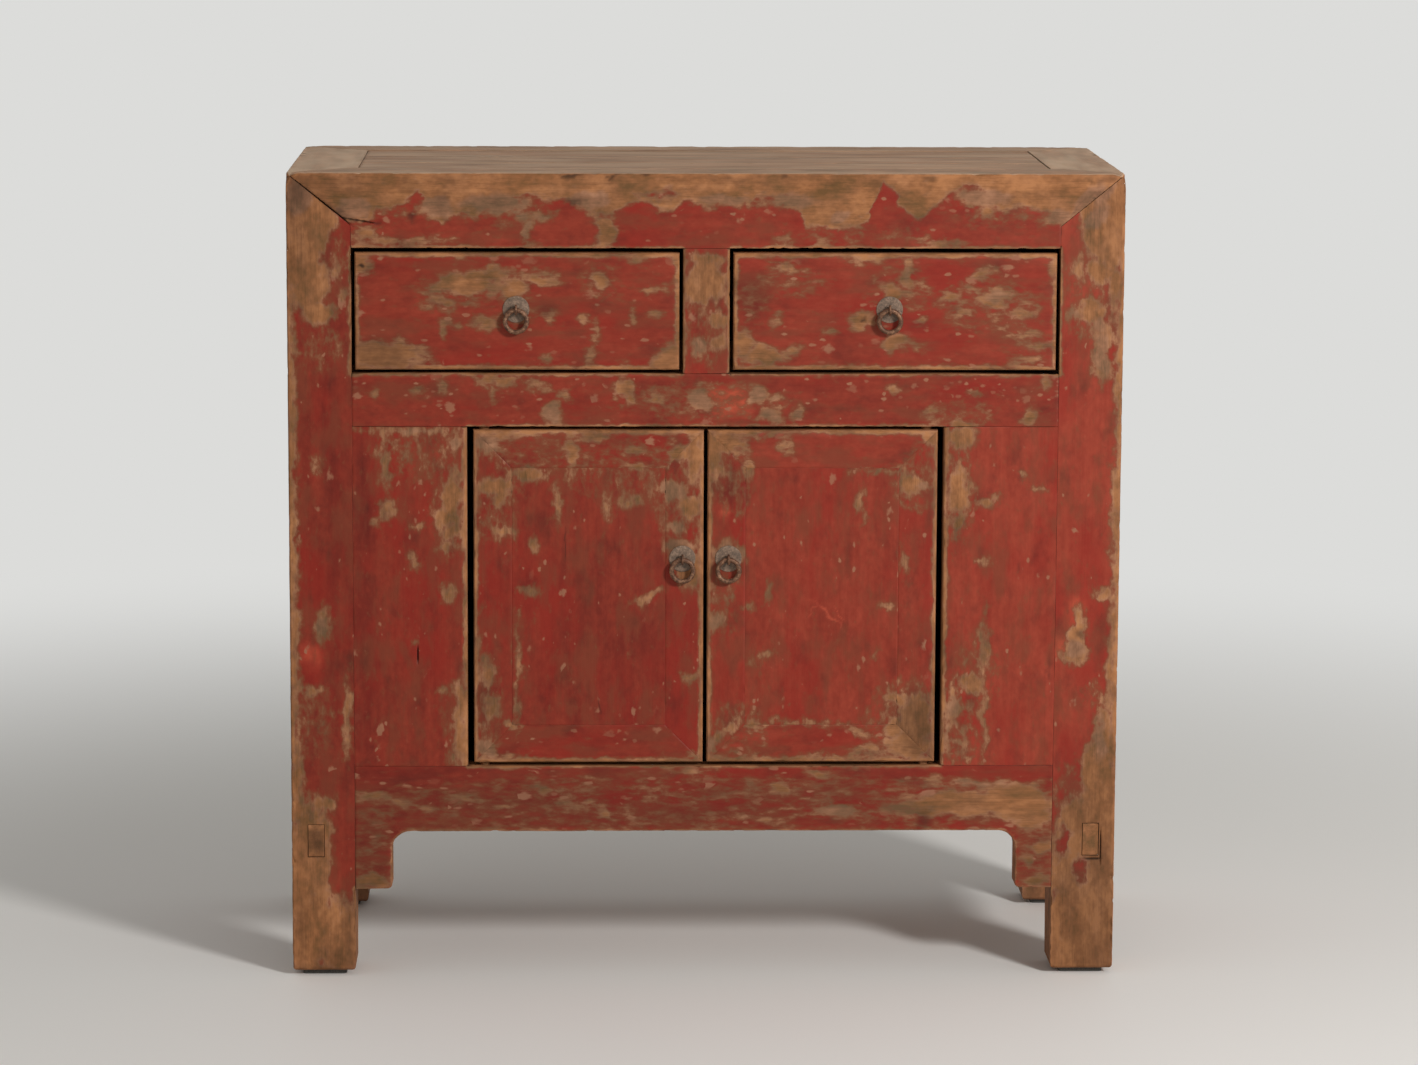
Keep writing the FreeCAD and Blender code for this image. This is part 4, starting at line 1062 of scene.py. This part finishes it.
for name in ("back_middle_rail", "back_bottom_rail"):
    wornCopy({
        "node": name, "grain": "x", "shows": ("back",), "raw": 0.55, "slot": "bare_wood", "drawnOut": 3,
    })

# Inside pieces are never lacquered
insideGrain = {"side": "y", "runner": "y", "battens": "y"}
for name in [n for n in nodes if isWood[n] and not nodes[n].hide_render]:
    grain = insideGrain.get(name.split("_")[-1], "x")
    wornCopy({"node": name, "grain": grain, "raw": 0.3, "slot": "bare_wood", "drawnOut": 3})
print("inside and back done")

for name, node in nodes.items():
    if isMetal[name]:
        forgedCopy(name)
    elif name == "felt_foot_pads":
        node.data.materials.clear()
        node.data.materials.append(feltMaterial)
print("iron and felt done")

# Camera where the photograph was taken from, worked out from the front's outline
photoView = {
    "imageWidth": 1418,
    "focalPixels": 4721.6,
    "sensorWidth": 36.0,
    "place": (-159.9, -5814.3, 1420.2),  # mm
    "pitch": -8.865,                     # degrees, as are the next two
    "yaw": -1.678,
    "roll": -0.243,
}


def photoCamera():
    s = photoView
    data = bpy.data.cameras.new("photo_camera")
    data.sensor_fit = "HORIZONTAL"
    data.sensor_width = s["sensorWidth"]
    data.lens = s["focalPixels"] * s["sensorWidth"] / s["imageWidth"]
    data.clip_end = 100
    camera = bpy.data.objects.new("photo_camera", data)
    bpy.context.scene.collection.objects.link(camera)
    turn = Matrix.Identity(4)
    for angle, axis in ((s["yaw"], "Z"), (s["pitch"], "X"), (s["roll"], "Y"), (90, "X")):
        turn = turn @ Matrix.Rotation(radians(angle), 4, axis)
    camera.matrix_world = Matrix.Translation(Vector(s["place"]) * mm) @ turn
    bpy.context.scene.camera = camera


studio = {
    "floorReach": 40.0,        # m
    "floorSides": 96,
    "floorRoughness": 0.7,
    "fade": (0.9, 3.0),        # m from the middle, where the floor passes into the background
    "floorColour": "#f1eee9",
    "skyColour": "#dcdcda",
    "skyStrength": 0.5,
    "keyPower": 150,           # W
    "keySize": 0.8,            # m
    "keyPlace": (2.6, -3.6, 2.4),  # m
    "keyAim": (0, 0, 0.5),     # m
}


def seenRays(tree):
    # Camera, mirror and glass rays see the pale background, the rest the plain light
    path = addNode(tree, "LightPath", {})
    seen = path.outputs["Is Camera Ray"]
    for ray in ("Is Glossy Ray", "Is Transmission Ray"):
        seen = addNode(tree, "Math", {0: seen, 1: path.outputs[ray]}, operation="MAXIMUM").outputs[0]
    return seen


def studioStage():
    s = studio
    bm = bmesh.new()
    bmesh.ops.create_circle(bm, cap_ends=True, segments=s["floorSides"], radius=s["floorReach"])
    mesh = bpy.data.meshes.new("studio_floor")
    bm.to_mesh(mesh)
    bm.free()
    floor = bpy.data.objects.new("studio_floor", mesh)
    bpy.context.scene.collection.objects.link(floor)
    material, tree, shader = newMaterial("matt_painted_floor")
    shader.inputs["Base Color"].default_value = toLinear(s["floorColour"])
    shader.inputs["Roughness"].default_value = s["floorRoughness"]
    place = addNode(tree, "TexCoord", {}).outputs["Object"]
    away = addNode(tree, "VectorMath", {0: place}, operation="LENGTH")
    near, far = s["fade"]
    fade = {"Value": away.outputs["Value"], "From Min": near, "From Max": far}
    fade = addNode(tree, "MapRange", fade, interpolation_type="SMOOTHSTEP")
    fade = addNode(tree, "Math", {0: fade, 1: seenRays(tree)}, operation="MULTIPLY")
    sky = addNode(tree, "Emission", {"Color": toLinear(s["skyColour"])})
    both = addNode(tree, "MixShader", {0: fade, 1: shader, 2: sky})
    tree.links.new(both.outputs[0], tree.nodes["Material Output"].inputs["Surface"])
    mesh.materials.append(material)

    world = bpy.data.worlds.new("studio_sky")
    world.use_nodes = True
    bpy.context.scene.world = world
    tree = world.node_tree
    background = tree.nodes["Background"]
    strength = {"Value": seenRays(tree), "To Min": s["skyStrength"], "To Max": 1.0}
    strength = addNode(tree, "MapRange", strength)
    background.inputs["Color"].default_value = toLinear(s["skyColour"])
    tree.links.new(strength.outputs[0], background.inputs["Strength"])

    lamp = bpy.data.lights.new("key_softbox", "AREA")
    lamp.shape = "DISK"
    lamp.size = s["keySize"]
    lamp.energy = s["keyPower"]
    key = bpy.data.objects.new("key_softbox", lamp)
    key.location = s["keyPlace"]
    ray = Vector(s["keyAim"]) - Vector(s["keyPlace"])
    key.rotation_euler = ray.to_track_quat("-Z", "Y").to_euler()
    bpy.context.scene.collection.objects.link(key)


photoCamera()
studioStage()
bpy.context.scene.view_settings.view_transform = "Standard"
print("camera and light set")
